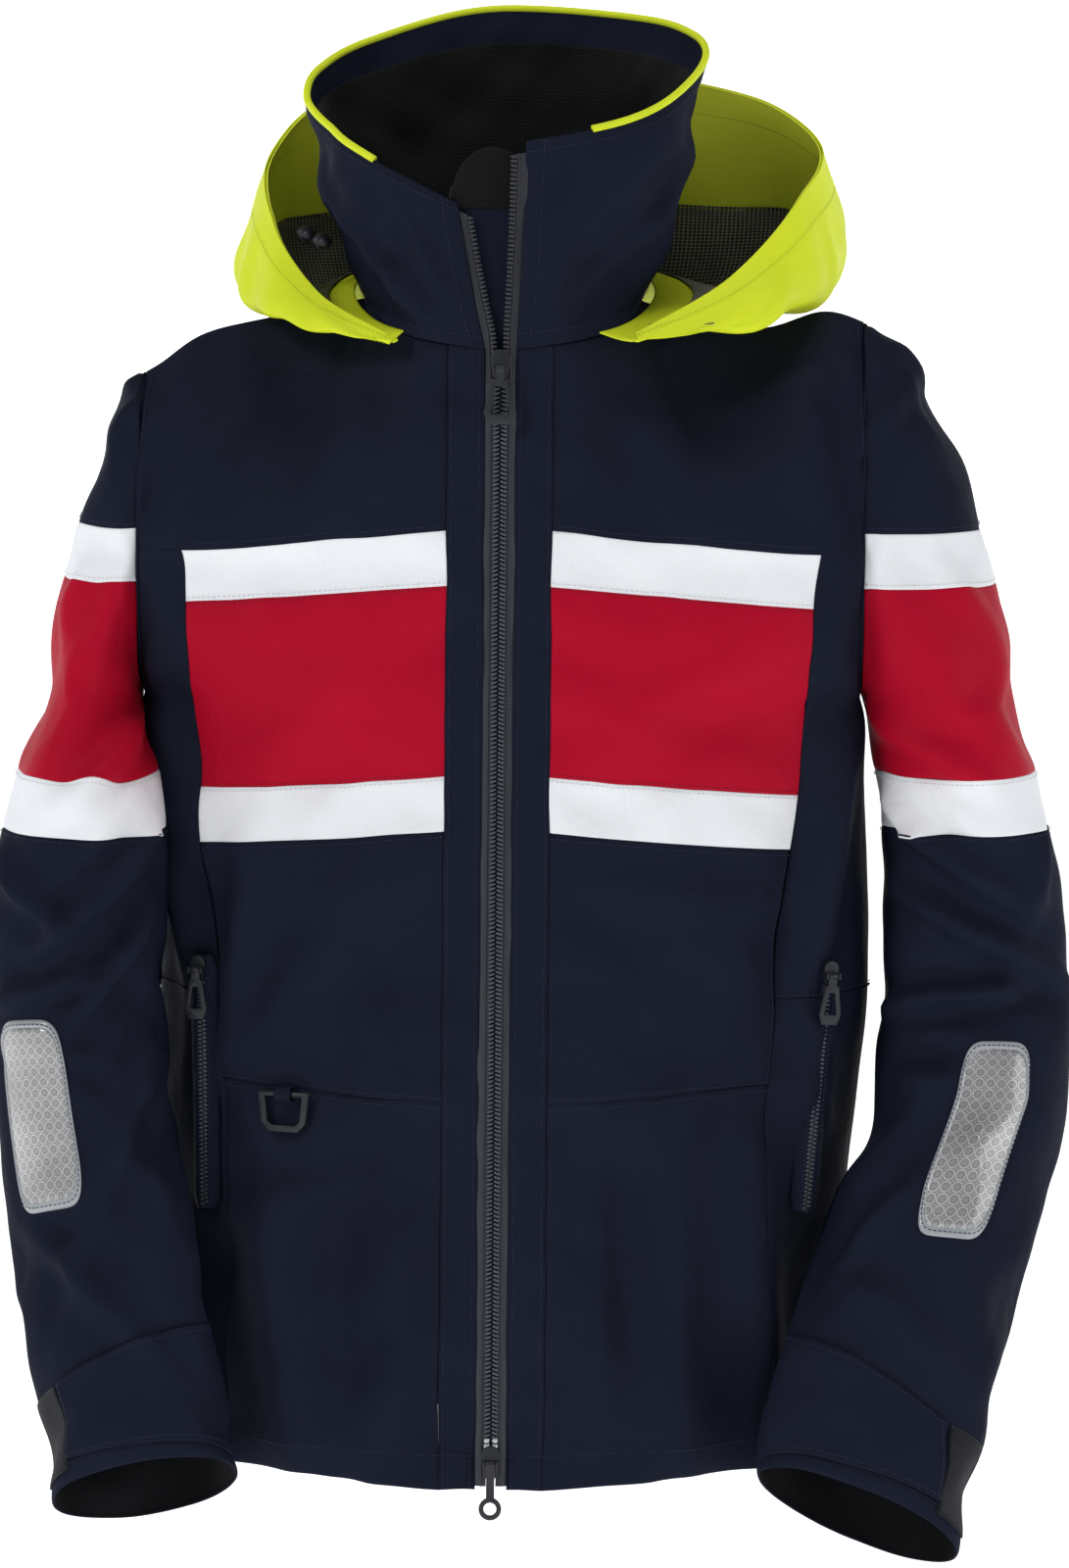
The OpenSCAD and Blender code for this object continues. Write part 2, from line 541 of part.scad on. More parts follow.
// A patch on the arm between two angles, lifted by d
module arm_patch(s, p0, p1, za, zb, d, t, m = 8, n = 6) {
    g = [for (z = steps(za, zb, n)) [for (p = steps(p0, p1, m)) arm_pt(p, z, s)]];
    side(s) sheet(inset(g, -d), t);
}
sleeve_z = [-134, -166, -278, -311, -410]; // white, red, white, navy, elbow
module sleeve_cap(s) {
    color(navy) side(s) sheet([for (t = steps(14, acos((sleeve_z[0] - z_arm) / armhole_h), 6))
        [for (j = [-9:9]) head_pt(j / 9, z_arm + armhole_h * cos(t) + seam, s)]], cloth);
}
module sleeve_stripes(s) {
    color(white) {
        head_part(s, sleeve_z[0], sleeve_z[1] + seam, 2);
        arm_part(s, sleeve_z[2], sleeve_z[3] + seam, 2);
    }
}
module sleeve_band(s) {
    color(red) {
        head_part(s, sleeve_z[1], z_under + 1.4, 4);
        arm_part(s, z_under - 1, sleeve_z[2] + seam, 3);
    }
}
module upper_sleeve(s) { color(navy) arm_part(s, sleeve_z[3], sleeve_z[4] + seam, 6); }
module forearm(s) { color(navy) arm_part(s, sleeve_z[4] - 1, sleeve_z1(s) + cuff_h + seam, 10); }
module cuff(s) { color(navy) arm_part(s, sleeve_z1(s) + cuff_h, sleeve_z1(s), 4); }
tab_p = [232, 316];         // angles of the strap's fixed and free end
module cuff_tab(s) {
    color(navy) arm_patch(s, tab_p[0], tab_p[1], sleeve_z1(s) + 50, sleeve_z1(s) + 6, 2.6, 1.6, 10, 3);
}
module loop_patch(s) {
    color(black) arm_patch(s, tab_p[1] + 3, 358, sleeve_z1(s) + 50, sleeve_z1(s) + 6, 1.9, 1.2, 5, 3);
}
module reflective_patch(s) {
    p = s > 0 ? [262, 304] : [276, 326];
    z = s > 0 ? -446 : -428;
    color(patch_grey) arm_patch(s, p[0], p[1], z, z - 120, 1.4, 1, 7, 8);
}

zip_tape(-1);  // zip_tape_right
zip_tape(1);  // zip_tape_left
zip_teeth(-1);  // zip_teeth_right
zip_teeth(1);  // zip_teeth_left
front_slider();
front_pull();
bottom_slider();
bottom_pull();
placket(-1);  // placket_right
placket(1);  // placket_left
front_yoke(-1);  // front_yoke_right
front_yoke(1);  // front_yoke_left
stripes(-1);  // chest_stripes_right
stripes(1);  // chest_stripes_left
band(-1);  // chest_band_right
band(1);  // chest_band_left
front_panel(-1);  // front_panel_right
front_panel(1);  // front_panel_left
side_panel(-1);  // side_panel_right
side_panel(1);  // side_panel_left
back_yoke();
back_panel();
pocket_zip(-1);  // pocket_zip_right
pocket_zip(1);  // pocket_zip_left
pocket_slider(-1);  // pocket_slider_right
pocket_slider(1);  // pocket_slider_left
pocket_pull(-1);  // pocket_pull_right
pocket_pull(1);  // pocket_pull_left
pocket_bags();
d_ring();
d_ring_loop();
collar_shell();
collar_lining();
collar_piping();
storm_flap();
chin_guard();
hanger_loop();
hood_shell();
hood_lining();
hood_cord_locks();
sleeve_cap(-1);  // sleeve_cap_right
sleeve_cap(1);  // sleeve_cap_left
sleeve_stripes(-1);  // sleeve_stripes_right
sleeve_stripes(1);  // sleeve_stripes_left
sleeve_band(-1);  // sleeve_band_right
sleeve_band(1);  // sleeve_band_left
upper_sleeve(-1);  // upper_sleeve_right
upper_sleeve(1);  // upper_sleeve_left
forearm(-1);  // forearm_right
forearm(1);  // forearm_left
cuff(-1);  // cuff_right
cuff(1);  // cuff_left
cuff_tab(-1);  // cuff_tab_right
cuff_tab(1);  // cuff_tab_left
loop_patch(-1);  // loop_patch_right
loop_patch(1);  // loop_patch_left
reflective_patch(-1);  // reflective_patch_right
reflective_patch(1);  // reflective_patch_left
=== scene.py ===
import math

import bmesh
import bpy
import numpy as np
from mathutils import Matrix, Vector


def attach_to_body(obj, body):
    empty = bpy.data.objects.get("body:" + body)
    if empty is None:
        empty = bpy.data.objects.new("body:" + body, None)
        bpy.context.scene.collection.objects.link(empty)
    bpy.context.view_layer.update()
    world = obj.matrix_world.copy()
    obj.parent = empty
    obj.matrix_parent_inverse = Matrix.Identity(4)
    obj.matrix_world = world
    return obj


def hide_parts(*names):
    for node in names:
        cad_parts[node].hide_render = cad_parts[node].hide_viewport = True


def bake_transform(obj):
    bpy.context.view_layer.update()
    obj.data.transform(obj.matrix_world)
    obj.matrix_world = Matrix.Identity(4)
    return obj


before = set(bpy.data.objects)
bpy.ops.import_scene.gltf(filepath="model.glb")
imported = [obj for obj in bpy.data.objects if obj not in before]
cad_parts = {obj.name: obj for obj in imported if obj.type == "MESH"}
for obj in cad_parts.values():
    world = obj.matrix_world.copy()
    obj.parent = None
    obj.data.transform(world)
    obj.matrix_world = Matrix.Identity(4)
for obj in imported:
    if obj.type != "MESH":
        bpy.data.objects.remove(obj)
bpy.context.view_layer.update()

MM = 0.001
RIGHT, LEFT = -1, 1
SIDES = {"right": RIGHT, "left": LEFT}

# ---------------------------------------------------------------- driving sizes, mm
HEM_Z = -692.0
NECK_Z = -28.0
NECK_R = 80.0
UNDER_Z = -236.0
ARM_H, ARM_W = 103.0, 72.0
ARM_Z = UNDER_Z + ARM_H
SEAM_X = 213.2
OVAL = 2.3
BLOCK_IN = 31.0
ZIP_W = 9.0
STRIPE_TOP, DROP = -132.0, 13.0
BLOCK_FOOT = -462.0      # lowest row where the chest block still widens
WELD = 20                # points closer than 1 / WELD mm are one point
SLEEVE_END = {RIGHT: -690.0, LEFT: -702.0}
CUFF_H = 78.0


# ---------------------------------------------------------------- curves
def curve(x, points):
    """Smooth monotone curve through (position, value) points."""
    pts = sorted(points)
    px = np.array([p[0] for p in pts], float)
    py = np.array([p[1] for p in pts], float)
    x = np.clip(np.asarray(x, float), px[0], px[-1])
    step = np.diff(px)
    slope = np.diff(py) / step
    m = np.zeros(len(px))
    m[0], m[-1] = slope[0], slope[-1]
    for i in range(1, len(px) - 1):
        a, b = slope[i - 1], slope[i]
        m[i] = 0 if a * b <= 0 else 2 * a * b / (a + b)
    k = np.clip(np.searchsorted(px, x, side="right") - 1, 0, len(step) - 1)
    t = (x - px[k]) / step[k]
    h = step[k]
    return ((1 + 2 * t) * (1 - t) ** 2 * py[k] + t * (1 - t) ** 2 * h * m[k]
            + t * t * (3 - 2 * t) * py[k + 1] + t * t * (t - 1) * h * m[k + 1])


def half_w(z, s):
    left = [(-692, 200), (-600, 202), (-523, 205), (-470, 212), (-405, 219), (-300, 217),
            (-236, 212.5), (-30, 212.5)]
    right = [(-692, 196), (-480, 199), (-300, 203), (-236, 212.5), (-30, 212.5)]
    return curve(z, left if s > 0 else right)


def front_d(z):
    return 98 + (NECK_Z - np.asarray(z, float)) * 0.0453


def back_d(z):
    return curve(z, [(-692, 116), (-400, 110), (-200, 112), (-120, 104)])


def arm_y(z):
    return ARM_W * np.sqrt(np.clip(1 - ((np.asarray(z, float) - ARM_Z) / ARM_H) ** 2, 0, 1)) \
        * (np.asarray(z) >= UNDER_Z)


def stack(x, y, z):
    return np.stack(np.broadcast_arrays(x, y, z), axis=-1).astype(float)


def torso(a, z, s, f):
    """Torso point at half angle a (radians from the centre line); f is -1 front, 1 back."""
    d, r = (front_d(z) if f < 0 else back_d(z)), arm_y(z)
    x = half_w(z, s) * np.sin(a) ** (2 / OVAL)
    return stack(x, f * (r + (d - r) * np.clip(np.cos(a), 0, 1) ** (2 / OVAL)), z)


def angle_of(x, z, s):
    return np.arcsin(np.clip(np.asarray(x) / half_w(z, s), 0, 1) ** (OVAL / 2))


def outer_x(z):
    return curve(z, [(-462, 162), (-330, 174), (-290, 179), (-176, 183), (-132, 186)])


def neck(q):
    """Neck seam ring; q in degrees from the centre front to 180 at the back."""
    q = np.asarray(q, float)
    r = np.radians(q)
    y = np.where(q < 90, -6 - 92 * np.cos(r), -6 - 74 * np.cos(r))
    z = curve(q, [(0, NECK_Z), (45, -20), (90, 0), (135, 18), (180, 24)])
    return stack(NECK_R * np.sin(r), y, z)


NECK_U = 0.36            # share of the top edge that lies along the neck
SHOULDER = np.array([213.0, 0, ARM_Z + ARM_H + 2])


# ---------------------------------------------------------------- sleeves
def outline_x(z, s):
    left = [(-276, 320), (-222, 307), (-168, 294), (-134, 284), (-100, 274), (-65, 256),
            (-42, 242), (-35, 229), (-30, 215)]
    right = [(-267, 278), (-222, 268), (-164, 257), (-130, 249), (-88, 237), (-55, 228),
             (-38, 221), (-30, 214.6)]
    return curve(z, left if s > 0 else right)


ARM = {
    LEFT: (
        [(-702, 214), (-655, 223), (-610, 238), (-560, 254), (-523, 265), (-480, 280),
         (-410, 285), (-350, 283), (-284, 272.8), (-237, 262.8)],
        [(-702, -136), (-610, -90), (-560, -66), (-523, -48), (-480, -28), (-410, -8),
         (-284, -8), (-237, -5)],
        [(-702, 60), (-560, 63), (-480, 59), (-410, 55.5), (-350, 52), (-284, 47.5), (-237, 48)],
        [(-702, 40), (-655, 41), (-610, 46), (-560, 52), (-480, 57), (-284, 62), (-237, 64)]),
    RIGHT: (
        [(-690, 200), (-650, 209), (-600, 221), (-540, 231), (-480, 241), (-410, 248),
         (-350, 248), (-284, 242), (-237, 243)],
        [(-690, -146), (-650, -130), (-600, -113), (-540, -95), (-480, -80), (-410, -70),
         (-350, -70), (-284, -68), (-237, -46)],
        [(-690, 54), (-600, 54), (-480, 52), (-350, 51), (-284, 41), (-237, 28)],
        [(-690, 41), (-600, 46), (-540, 51), (-480, 56), (-350, 60), (-237, 66)])}


def arm_c(z, s):
    return [curve(z, column) for column in ARM[s]]


def arm_tilt(z):
    return np.radians(curve(z, [(-702, 35), (-650, 33), (-560, 28), (-480, 20), (-410, 8),
                                (-320, 0)]))


def arm_lean(z, s):
    return np.interp(z, [-702, -560], [0.38 if s > 0 else 0.2, 0])


def arm(p, z, s):
    """Closed part of the sleeve; p in degrees, 0 outside, 90 back, 270 front."""
    p = np.radians(p)
    cx, cy, a, b = arm_c(z, s)
    t = arm_tilt(z)
    k = np.clip((UNDER_Z - z) / 55, 0, 1)
    return stack(cx + a * np.cos(p),
                 cy * ((1 + np.cos(p)) / 2 * (1 - k) + k) + b * np.sin(p) * np.cos(t),
                 z - b * np.sin(p) * np.sin(t) - arm_lean(z, s) * a * np.cos(p))


def head(w, z, s):
    """Sleeve head above the underarm; w from -1 at the armhole's front to 1 at its back."""
    xo, ay = outline_x(z, s), arm_y(z)
    low = z < ARM_Z
    _, cy, _, deep = arm_c(-237.0, s)
    b = np.where(low, ARM_W + (deep - ARM_W) * (ARM_Z - z) / ARM_H, np.maximum(ay, 1e-3))
    cut = np.where(low, np.pi - np.arcsin(np.clip(ay / b, 0, 1)), np.pi / 2)
    a = (xo - SEAM_X) / (1 - np.cos(cut))
    p = w * cut
    g = (np.cos(p) - np.cos(cut)) / (1 - np.cos(cut))
    shift = curve(z, [(UNDER_Z, cy), (-133, cy * 0.25), (-60, 0)])
    return stack(xo - a + a * np.cos(p), shift * g + b * np.sin(p), z)


# ---------------------------------------------------------------- collar and hood
def rim_z(q, s):
    if s > 0:
        return curve(q, [(0, 93), (35, 106), (90, 146), (135, 166), (180, 172), (225, 160)])
    return curve(q, [(0, 53), (35, 82), (90, 122), (135, 152), (180, 172), (225, 166)])


def collar(q, v):
    """Collar; q runs 0..360 from the centre front over the left side, v 0 seam, 1 rim."""
    q, v = np.broadcast_arrays(np.asarray(q, float), np.asarray(v, float))
    s = np.where(q <= 180, 1.0, -1.0)
    h = np.where(q <= 180, q, 360 - q)
    r = np.radians(h)
    gap = np.where(s < 0, 14 * np.clip(1 - h / 60, 0, 1), 0)
    zr = np.where(s > 0, rim_z(h, 1), rim_z(h, -1))
    y = np.where(h < 90, -5 - 88 * np.cos(r) + gap * 0.4, -5 - 98 * np.cos(r))
    rim = np.stack([119 * np.sin(r) + gap, y, zr], axis=-1)
    p = neck(h) * (1 - v[..., None]) + rim * v[..., None]
    p[..., 0] += 7 * np.sin(r) * 4 * v * (1 - v)
    p[..., 0] *= s
    return p


def hood_rim(h, s):
    if s > 0:
        return stack(curve(h, [(40, 78), (60, 132), (90, 174), (120, 189), (145, 150), (180, 0)]),
                     curve(h, [(40, -88), (60, -52), (90, 8), (120, 62), (145, 104), (180, 124), (200, 120)]),
                     curve(h, [(40, -17), (60, 14), (90, 60), (120, 86), (145, 118), (180, 138), (200, 130)]))
    return stack(curve(h, [(40, 60), (60, 108), (90, 138), (120, 146), (145, 126), (180, 0)]),
                 curve(h, [(40, -92), (60, -58), (90, 2), (120, 56), (145, 100), (180, 124), (200, 120)]),
                 curve(h, [(40, -22), (60, 4), (90, 44), (120, 72), (145, 106), (180, 138), (200, 130)]))


def hood(q, w):
    """Hood gutter round the collar; w from 0 at the rim to 1 at the neck seam."""
    q, w = np.broadcast_arrays(np.asarray(q, float), np.asarray(w, float))
    s = np.where(q <= 180, 1.0, -1.0)
    h = np.where(q <= 180, q, 360 - q)
    wide = np.where(s > 0, 1.0, 0.8)
    low = stack(wide * curve(h, [(40, 84), (60, 176), (90, 238), (120, 246), (145, 186), (180, 0)]),
                curve(h, [(40, -98), (60, -88), (90, 0), (120, 110), (145, 185), (180, 228), (200, 215)]),
                curve(h, [(40, -26), (60, -30), (90, -34), (120, -46), (145, -80), (180, -112),
                          (200, -100)]))
    n = neck(h)
    seam = stack(n[..., 0] * 1.11, -6 + (n[..., 1] + 6) * 1.1, n[..., 2] + 4)
    rim = np.where((s > 0)[..., None], hood_rim(h, 1), hood_rim(h, -1))
    w = w[..., None]
    p = (1 - w) ** 2 * rim + 2 * w * (1 - w) * low + w * w * seam
    p[..., 0] *= s
    return p


# ---------------------------------------------------------------- mesh helpers
def grid_normals(g, wrap=False):
    if wrap:
        du = np.roll(g, -1, axis=1) - np.roll(g, 1, axis=1)
    else:
        du = np.gradient(g, axis=1)
    n = np.cross(np.gradient(g, axis=0), du)
    return n / np.maximum(np.linalg.norm(n, axis=-1, keepdims=True), 1e-9)


def link(name, verts, faces):
    me = bpy.data.meshes.new(name)
    me.from_pydata([tuple(v) for v in np.asarray(verts, float) * MM], [], faces)
    me.validate()
    o = bpy.data.objects.new(name, me)
    bpy.context.scene.collection.objects.link(o)
    return o


def bake(o):
    """Replaces the object's mesh by what its modifiers make."""
    deps = bpy.context.evaluated_depsgraph_get()
    me = bpy.data.meshes.new_from_object(o.evaluated_get(deps))
    old = o.data
    o.modifiers.clear()
    o.data = me
    bpy.data.meshes.remove(old)
    me.name = o.name
    return o


def smooth_noise(p, scale, seed):
    """Sum of seeded sine waves: a smooth field of about unit size, scale in mm."""
    rng = np.random.default_rng(seed)
    total = np.zeros(p.shape[:-1])
    for _ in range(9):
        d = rng.normal(size=3)
        d /= np.linalg.norm(d)
        total += np.sin(p @ d * (2 * np.pi / (scale * rng.uniform(0.7, 1.5))) + rng.uniform(0, 6.28))
    return total / 3.0


# ---------------------------------------------------------------- materials
def link_nodes(m, a, out, b, into):
    m.node_tree.links.new(a.outputs[out], b.inputs[into])


def node(m, kind, **values):
    n = m.node_tree.nodes.new(kind)
    for k, v in values.items():
        if k.startswith("in_"):
            n.inputs[k[3:].replace("_", " ")].default_value = v
        else:
            setattr(n, k, v)
    return n


def linear(rgb):
    c = [v / 255 for v in rgb]
    return [v / 12.92 if v <= 0.04045 else ((v + 0.055) / 1.055) ** 2.4 for v in c] + [1.0]


def fabric(name, rgb, rough=0.62, sheen=0.12, pitch=0.9, bump=0.25, vary=0.08, fleck=0.10,
           twill=True, second=None, gleam=0.13, crumple=0.0):
    """Woven cloth: crossing threads from two wave patterns laid out along the panel's own
    UV map, small flecks, and a slow change of tone over the piece."""
    m = bpy.data.materials.new(name)
    m.use_nodes = True
    bsdf = m.node_tree.nodes["Principled BSDF"]
    uv = node(m, "ShaderNodeUVMap", uv_map="UVMap")
    turn = node(m, "ShaderNodeMapping", in_Rotation=(0, 0, math.radians(32 if twill else 0)))
    link_nodes(m, uv, "UV", turn, "Vector")
    waves = []
    for direction in ("X", "Y"):
        w = node(m, "ShaderNodeTexWave", bands_direction=direction, in_Scale=1000 / pitch / 3.1416,
                 in_Distortion=0.6, in_Detail=1.0)
        link_nodes(m, turn, "Vector", w, "Vector")
        waves.append(w)
    threads = node(m, "ShaderNodeMath", operation="MULTIPLY")
    link_nodes(m, waves[0], "Fac", threads, 0)
    link_nodes(m, waves[1], "Fac", threads, 1)
    obj = node(m, "ShaderNodeTexCoord")
    fine = node(m, "ShaderNodeTexNoise", in_Scale=900.0, in_Detail=3.0)
    slow = node(m, "ShaderNodeTexNoise", in_Scale=9.0, in_Detail=4.0)
    link_nodes(m, obj, "Object", fine, "Vector")
    link_nodes(m, obj, "Object", slow, "Vector")
    base = linear(rgb)
    other = linear(second) if second else [min(1, c * (1 + fleck * 4) + 0.004) for c in base[:3]] + [1]
    mix = node(m, "ShaderNodeMix", data_type="RGBA")
    mix.inputs[6].default_value = base
    mix.inputs[7].default_value = other
    amount = node(m, "ShaderNodeMath", operation="MULTIPLY")
    amount.inputs[1].default_value = 0.55 if second else 0.5
    link_nodes(m, threads, 0, amount, 0)
    link_nodes(m, amount, 0, mix, 0)
    tone = node(m, "ShaderNodeHueSaturation")
    value = node(m, "ShaderNodeMapRange", in_From_Min=0.3, in_From_Max=0.7, in_To_Min=1 - vary,
                 in_To_Max=1 + vary)
    both = node(m, "ShaderNodeMath", operation="ADD")
    part = node(m, "ShaderNodeMath", operation="MULTIPLY")
    part.inputs[1].default_value = 0.35
    link_nodes(m, fine, "Fac", part, 0)
    link_nodes(m, slow, "Fac", both, 0)
    link_nodes(m, part, 0, both, 1)
    shift = node(m, "ShaderNodeMath", operation="SUBTRACT")
    shift.inputs[1].default_value = 0.175
    link_nodes(m, both, 0, shift, 0)
    link_nodes(m, shift, 0, value, "Value")
    link_nodes(m, value, "Result", tone, "Value")
    m.node_tree.links.new(mix.outputs[2], tone.inputs["Color"])
    link_nodes(m, tone, "Color", bsdf, "Base Color")
    gloss = node(m, "ShaderNodeMapRange", in_To_Min=rough - 0.06, in_To_Max=rough + 0.08)
    link_nodes(m, slow, "Fac", gloss, "Value")
    link_nodes(m, gloss, "Result", bsdf, "Roughness")
    height = node(m, "ShaderNodeMath", operation="ADD")
    link_nodes(m, threads, 0, height, 0)
    link_nodes(m, fine, "Fac", height, 1)
    b = node(m, "ShaderNodeBump", in_Strength=bump, in_Distance=0.0003)
    link_nodes(m, height, 0, b, "Height")
    if crumple:
        worn = node(m, "ShaderNodeTexNoise", in_Scale=22.0, in_Detail=5.0, in_Roughness=0.55,
                    in_Distortion=0.9)
        link_nodes(m, obj, "Object", worn, "Vector")
        soft = node(m, "ShaderNodeBump", in_Strength=crumple, in_Distance=0.004)
        link_nodes(m, worn, "Fac", soft, "Height")
        link_nodes(m, soft, "Normal", b, "Normal")
    link_nodes(m, b, "Normal", bsdf, "Normal")
    bsdf.inputs["Sheen Weight"].default_value = sheen
    bsdf.inputs["Sheen Roughness"].default_value = 0.45
    bsdf.inputs["Specular IOR Level"].default_value = gleam
    return m


def hard(name, rgb, rough=0.4, metallic=0.0, grain=300.0, bump=0.06, vary=0.12):
    """Moulded or cast part: mottled tone, uneven gloss and a fine grain."""
    m = bpy.data.materials.new(name)
    m.use_nodes = True
    bsdf = m.node_tree.nodes["Principled BSDF"]
    obj = node(m, "ShaderNodeTexCoord")
    n1 = node(m, "ShaderNodeTexNoise", in_Scale=grain, in_Detail=5.0)
    n2 = node(m, "ShaderNodeTexNoise", in_Scale=40.0, in_Detail=3.0)
    link_nodes(m, obj, "Object", n1, "Vector")
    link_nodes(m, obj, "Object", n2, "Vector")
    base = linear(rgb)
    mix = node(m, "ShaderNodeMix", data_type="RGBA")
    mix.inputs[6].default_value = [c * (1 - vary) for c in base[:3]] + [1]
    mix.inputs[7].default_value = [min(1, c * (1 + vary) + 0.002) for c in base[:3]] + [1]
    link_nodes(m, n2, "Fac", mix, 0)
    m.node_tree.links.new(mix.outputs[2], bsdf.inputs["Base Color"])
    gloss = node(m, "ShaderNodeMapRange", in_To_Min=rough - 0.1, in_To_Max=rough + 0.1)
    link_nodes(m, n1, "Fac", gloss, "Value")
    link_nodes(m, gloss, "Result", bsdf, "Roughness")
    b = node(m, "ShaderNodeBump", in_Strength=bump, in_Distance=0.0004)
    link_nodes(m, n1, "Fac", b, "Height")
    link_nodes(m, b, "Normal", bsdf, "Normal")
    bsdf.inputs["Metallic"].default_value = metallic
    return m


def mesh_cloth(name):
    """Open net: crossing threads painted pale grey as a painted sheen on the black net, over dark holes, laid
    out along the piece's UV map.
    """
    m = bpy.data.materials.new(name)
    m.use_nodes = True
    bsdf = m.node_tree.nodes["Principled BSDF"]
    uv = node(m, "ShaderNodeUVMap", uv_map="UVMap")
    waves = []
    for direction in ("X", "Y"):
        w = node(m, "ShaderNodeTexWave", bands_direction=direction, in_Scale=1000 / 2.5 / 3.1416,
                 in_Distortion=0.8, in_Detail=1.0)
        link_nodes(m, uv, "UV", w, "Vector")
        waves.append(w)
    top = node(m, "ShaderNodeMath", operation="MAXIMUM")
    link_nodes(m, waves[0], "Fac", top, 0)
    link_nodes(m, waves[1], "Fac", top, 1)
    # pale thread colour: painted sheen on the black mesh
    ramp = node(m, "ShaderNodeValToRGB")
    ramp.color_ramp.elements[0].position = 0.62
    ramp.color_ramp.elements[0].color = (0.006, 0.006, 0.007, 1)
    ramp.color_ramp.elements[1].position = 0.93
    ramp.color_ramp.elements[1].color = (0.30, 0.30, 0.26, 1)
    link_nodes(m, top, 0, ramp, "Fac")
    obj = node(m, "ShaderNodeTexCoord")
    slow = node(m, "ShaderNodeTexNoise", in_Scale=25.0, in_Detail=3.0)
    link_nodes(m, obj, "Object", slow, "Vector")
    tone = node(m, "ShaderNodeHueSaturation")
    value = node(m, "ShaderNodeMapRange", in_From_Min=0.3, in_From_Max=0.7, in_To_Min=0.5,
                 in_To_Max=1.5)
    link_nodes(m, slow, "Fac", value, "Value")
    link_nodes(m, value, "Result", tone, "Value")
    link_nodes(m, ramp, "Color", tone, "Color")
    link_nodes(m, tone, "Color", bsdf, "Base Color")
    b = node(m, "ShaderNodeBump", in_Strength=0.9, in_Distance=0.0005)
    link_nodes(m, top, 0, b, "Height")
    link_nodes(m, b, "Normal", bsdf, "Normal")
    bsdf.inputs["Roughness"].default_value = 0.4
    return m


def reflective_mat(name):
    """Silver reflective film under a clear skin with a grid of small rings."""
    m = bpy.data.materials.new(name)
    m.use_nodes = True
    bsdf = m.node_tree.nodes["Principled BSDF"]
    uv = node(m, "ShaderNodeUVMap", uv_map="UVMap")
    cells = node(m, "ShaderNodeVectorMath", operation="SCALE")
    cells.inputs["Scale"].default_value = 1000 / 7.0
    link_nodes(m, uv, "UV", cells, 0)
    frac = node(m, "ShaderNodeVectorMath", operation="FRACTION")
    link_nodes(m, cells, 0, frac, 0)
    centre = node(m, "ShaderNodeVectorMath", operation="SUBTRACT")
    centre.inputs[1].default_value = (0.5, 0.5, 0)
    link_nodes(m, frac, 0, centre, 0)
    flat = node(m, "ShaderNodeVectorMath", operation="MULTIPLY")
    flat.inputs[1].default_value = (1, 1, 0)
    link_nodes(m, centre, 0, flat, 0)
    dist = node(m, "ShaderNodeVectorMath", operation="LENGTH")
    link_nodes(m, flat, 0, dist, 0)
    ring = node(m, "ShaderNodeValToRGB")
    ring.color_ramp.elements[0].position = 0.0
    ring.color_ramp.elements[0].color = (0.30, 0.31, 0.33, 1)
    for at, level in ((0.10, 0.30), (0.36, 0.22), (0.39, 0.55), (0.45, 0.55), (0.48, 0.24)):
        e = ring.color_ramp.elements.new(at)
        e.color = (level, level, level * 1.03, 1)
    ring.color_ramp.elements[-1].color = (0.50, 0.50, 0.52, 1)
    link_nodes(m, dist, "Value", ring, "Fac")
    slow = node(m, "ShaderNodeTexNoise", in_Scale=22.0, in_Detail=3.0)
    obj = node(m, "ShaderNodeTexCoord")
    link_nodes(m, obj, "Object", slow, "Vector")
    tone = node(m, "ShaderNodeHueSaturation")
    value = node(m, "ShaderNodeMapRange", in_From_Min=0.3, in_From_Max=0.7, in_To_Min=0.8,
                 in_To_Max=1.25)
    link_nodes(m, slow, "Fac", value, "Value")
    link_nodes(m, value, "Result", tone, "Value")
    link_nodes(m, ring, "Color", tone, "Color")
    link_nodes(m, tone, "Color", bsdf, "Base Color")
    b = node(m, "ShaderNodeBump", in_Strength=0.3, in_Distance=0.0004)
    link_nodes(m, dist, "Value", b, "Height")
    link_nodes(m, b, "Normal", bsdf, "Normal")
    bsdf.inputs["Metallic"].default_value = 0.2
    bsdf.inputs["Roughness"].default_value = 0.34
    bsdf.inputs["Coat Weight"].default_value = 0.9
    bsdf.inputs["Coat Roughness"].default_value = 0.08
    return m


NAVY = fabric("shell_navy", (26, 30, 44), rough=0.58, sheen=0.0, vary=0.12, fleck=0.10, gleam=0.015,
              crumple=0.8)
RED = fabric("shell_red", (172, 8, 40), rough=0.55, sheen=0.01, vary=0.05, fleck=0.02, gleam=0.06,
             crumple=0.6)
WHITE = fabric("shell_white", (236, 239, 244), rough=0.6, sheen=0.0, vary=0.02, fleck=0.0, bump=0.2,
               crumple=0.6)
LIME = fabric("hood_lime", (216, 230, 44), rough=0.5, sheen=0.0, vary=0.05, fleck=0.02, bump=0.2,
              crumple=0.35)
# the facing is the hood's own lime cloth; its brighter copy is painted light, for light shining through the
# thin cloth from behind
LIME_LIT_FACING = fabric("hood_lime_facing_painted_light", (246, 255, 76), rough=0.6, sheen=0.0, vary=0.05, fleck=0.0, bump=0.2,
                 crumple=0.35)
LINING = fabric("lining", (17, 18, 21), rough=0.8, sheen=0.03, pitch=1.6, bump=0.5, fleck=0.1,
                twill=False)
FLEECE = fabric("lining_fleece", (18, 19, 19), rough=0.95, sheen=0.08, pitch=2.2, bump=1.0,
                fleck=0.2, twill=False)
NET = mesh_cloth("hood_mesh")
LOOP = fabric("loop_fabric", (21, 23, 30), rough=0.97, sheen=0.15, pitch=1.1, bump=1.2, fleck=0.3,
              twill=False)
REFLECT = reflective_mat("reflective")
CLEAR = hard("reflective_skin", (158, 163, 168), rough=0.18, grain=700, bump=0.15)
TAPE = hard("zip_tape", (36, 40, 51), rough=0.5, grain=1200, bump=0.10)
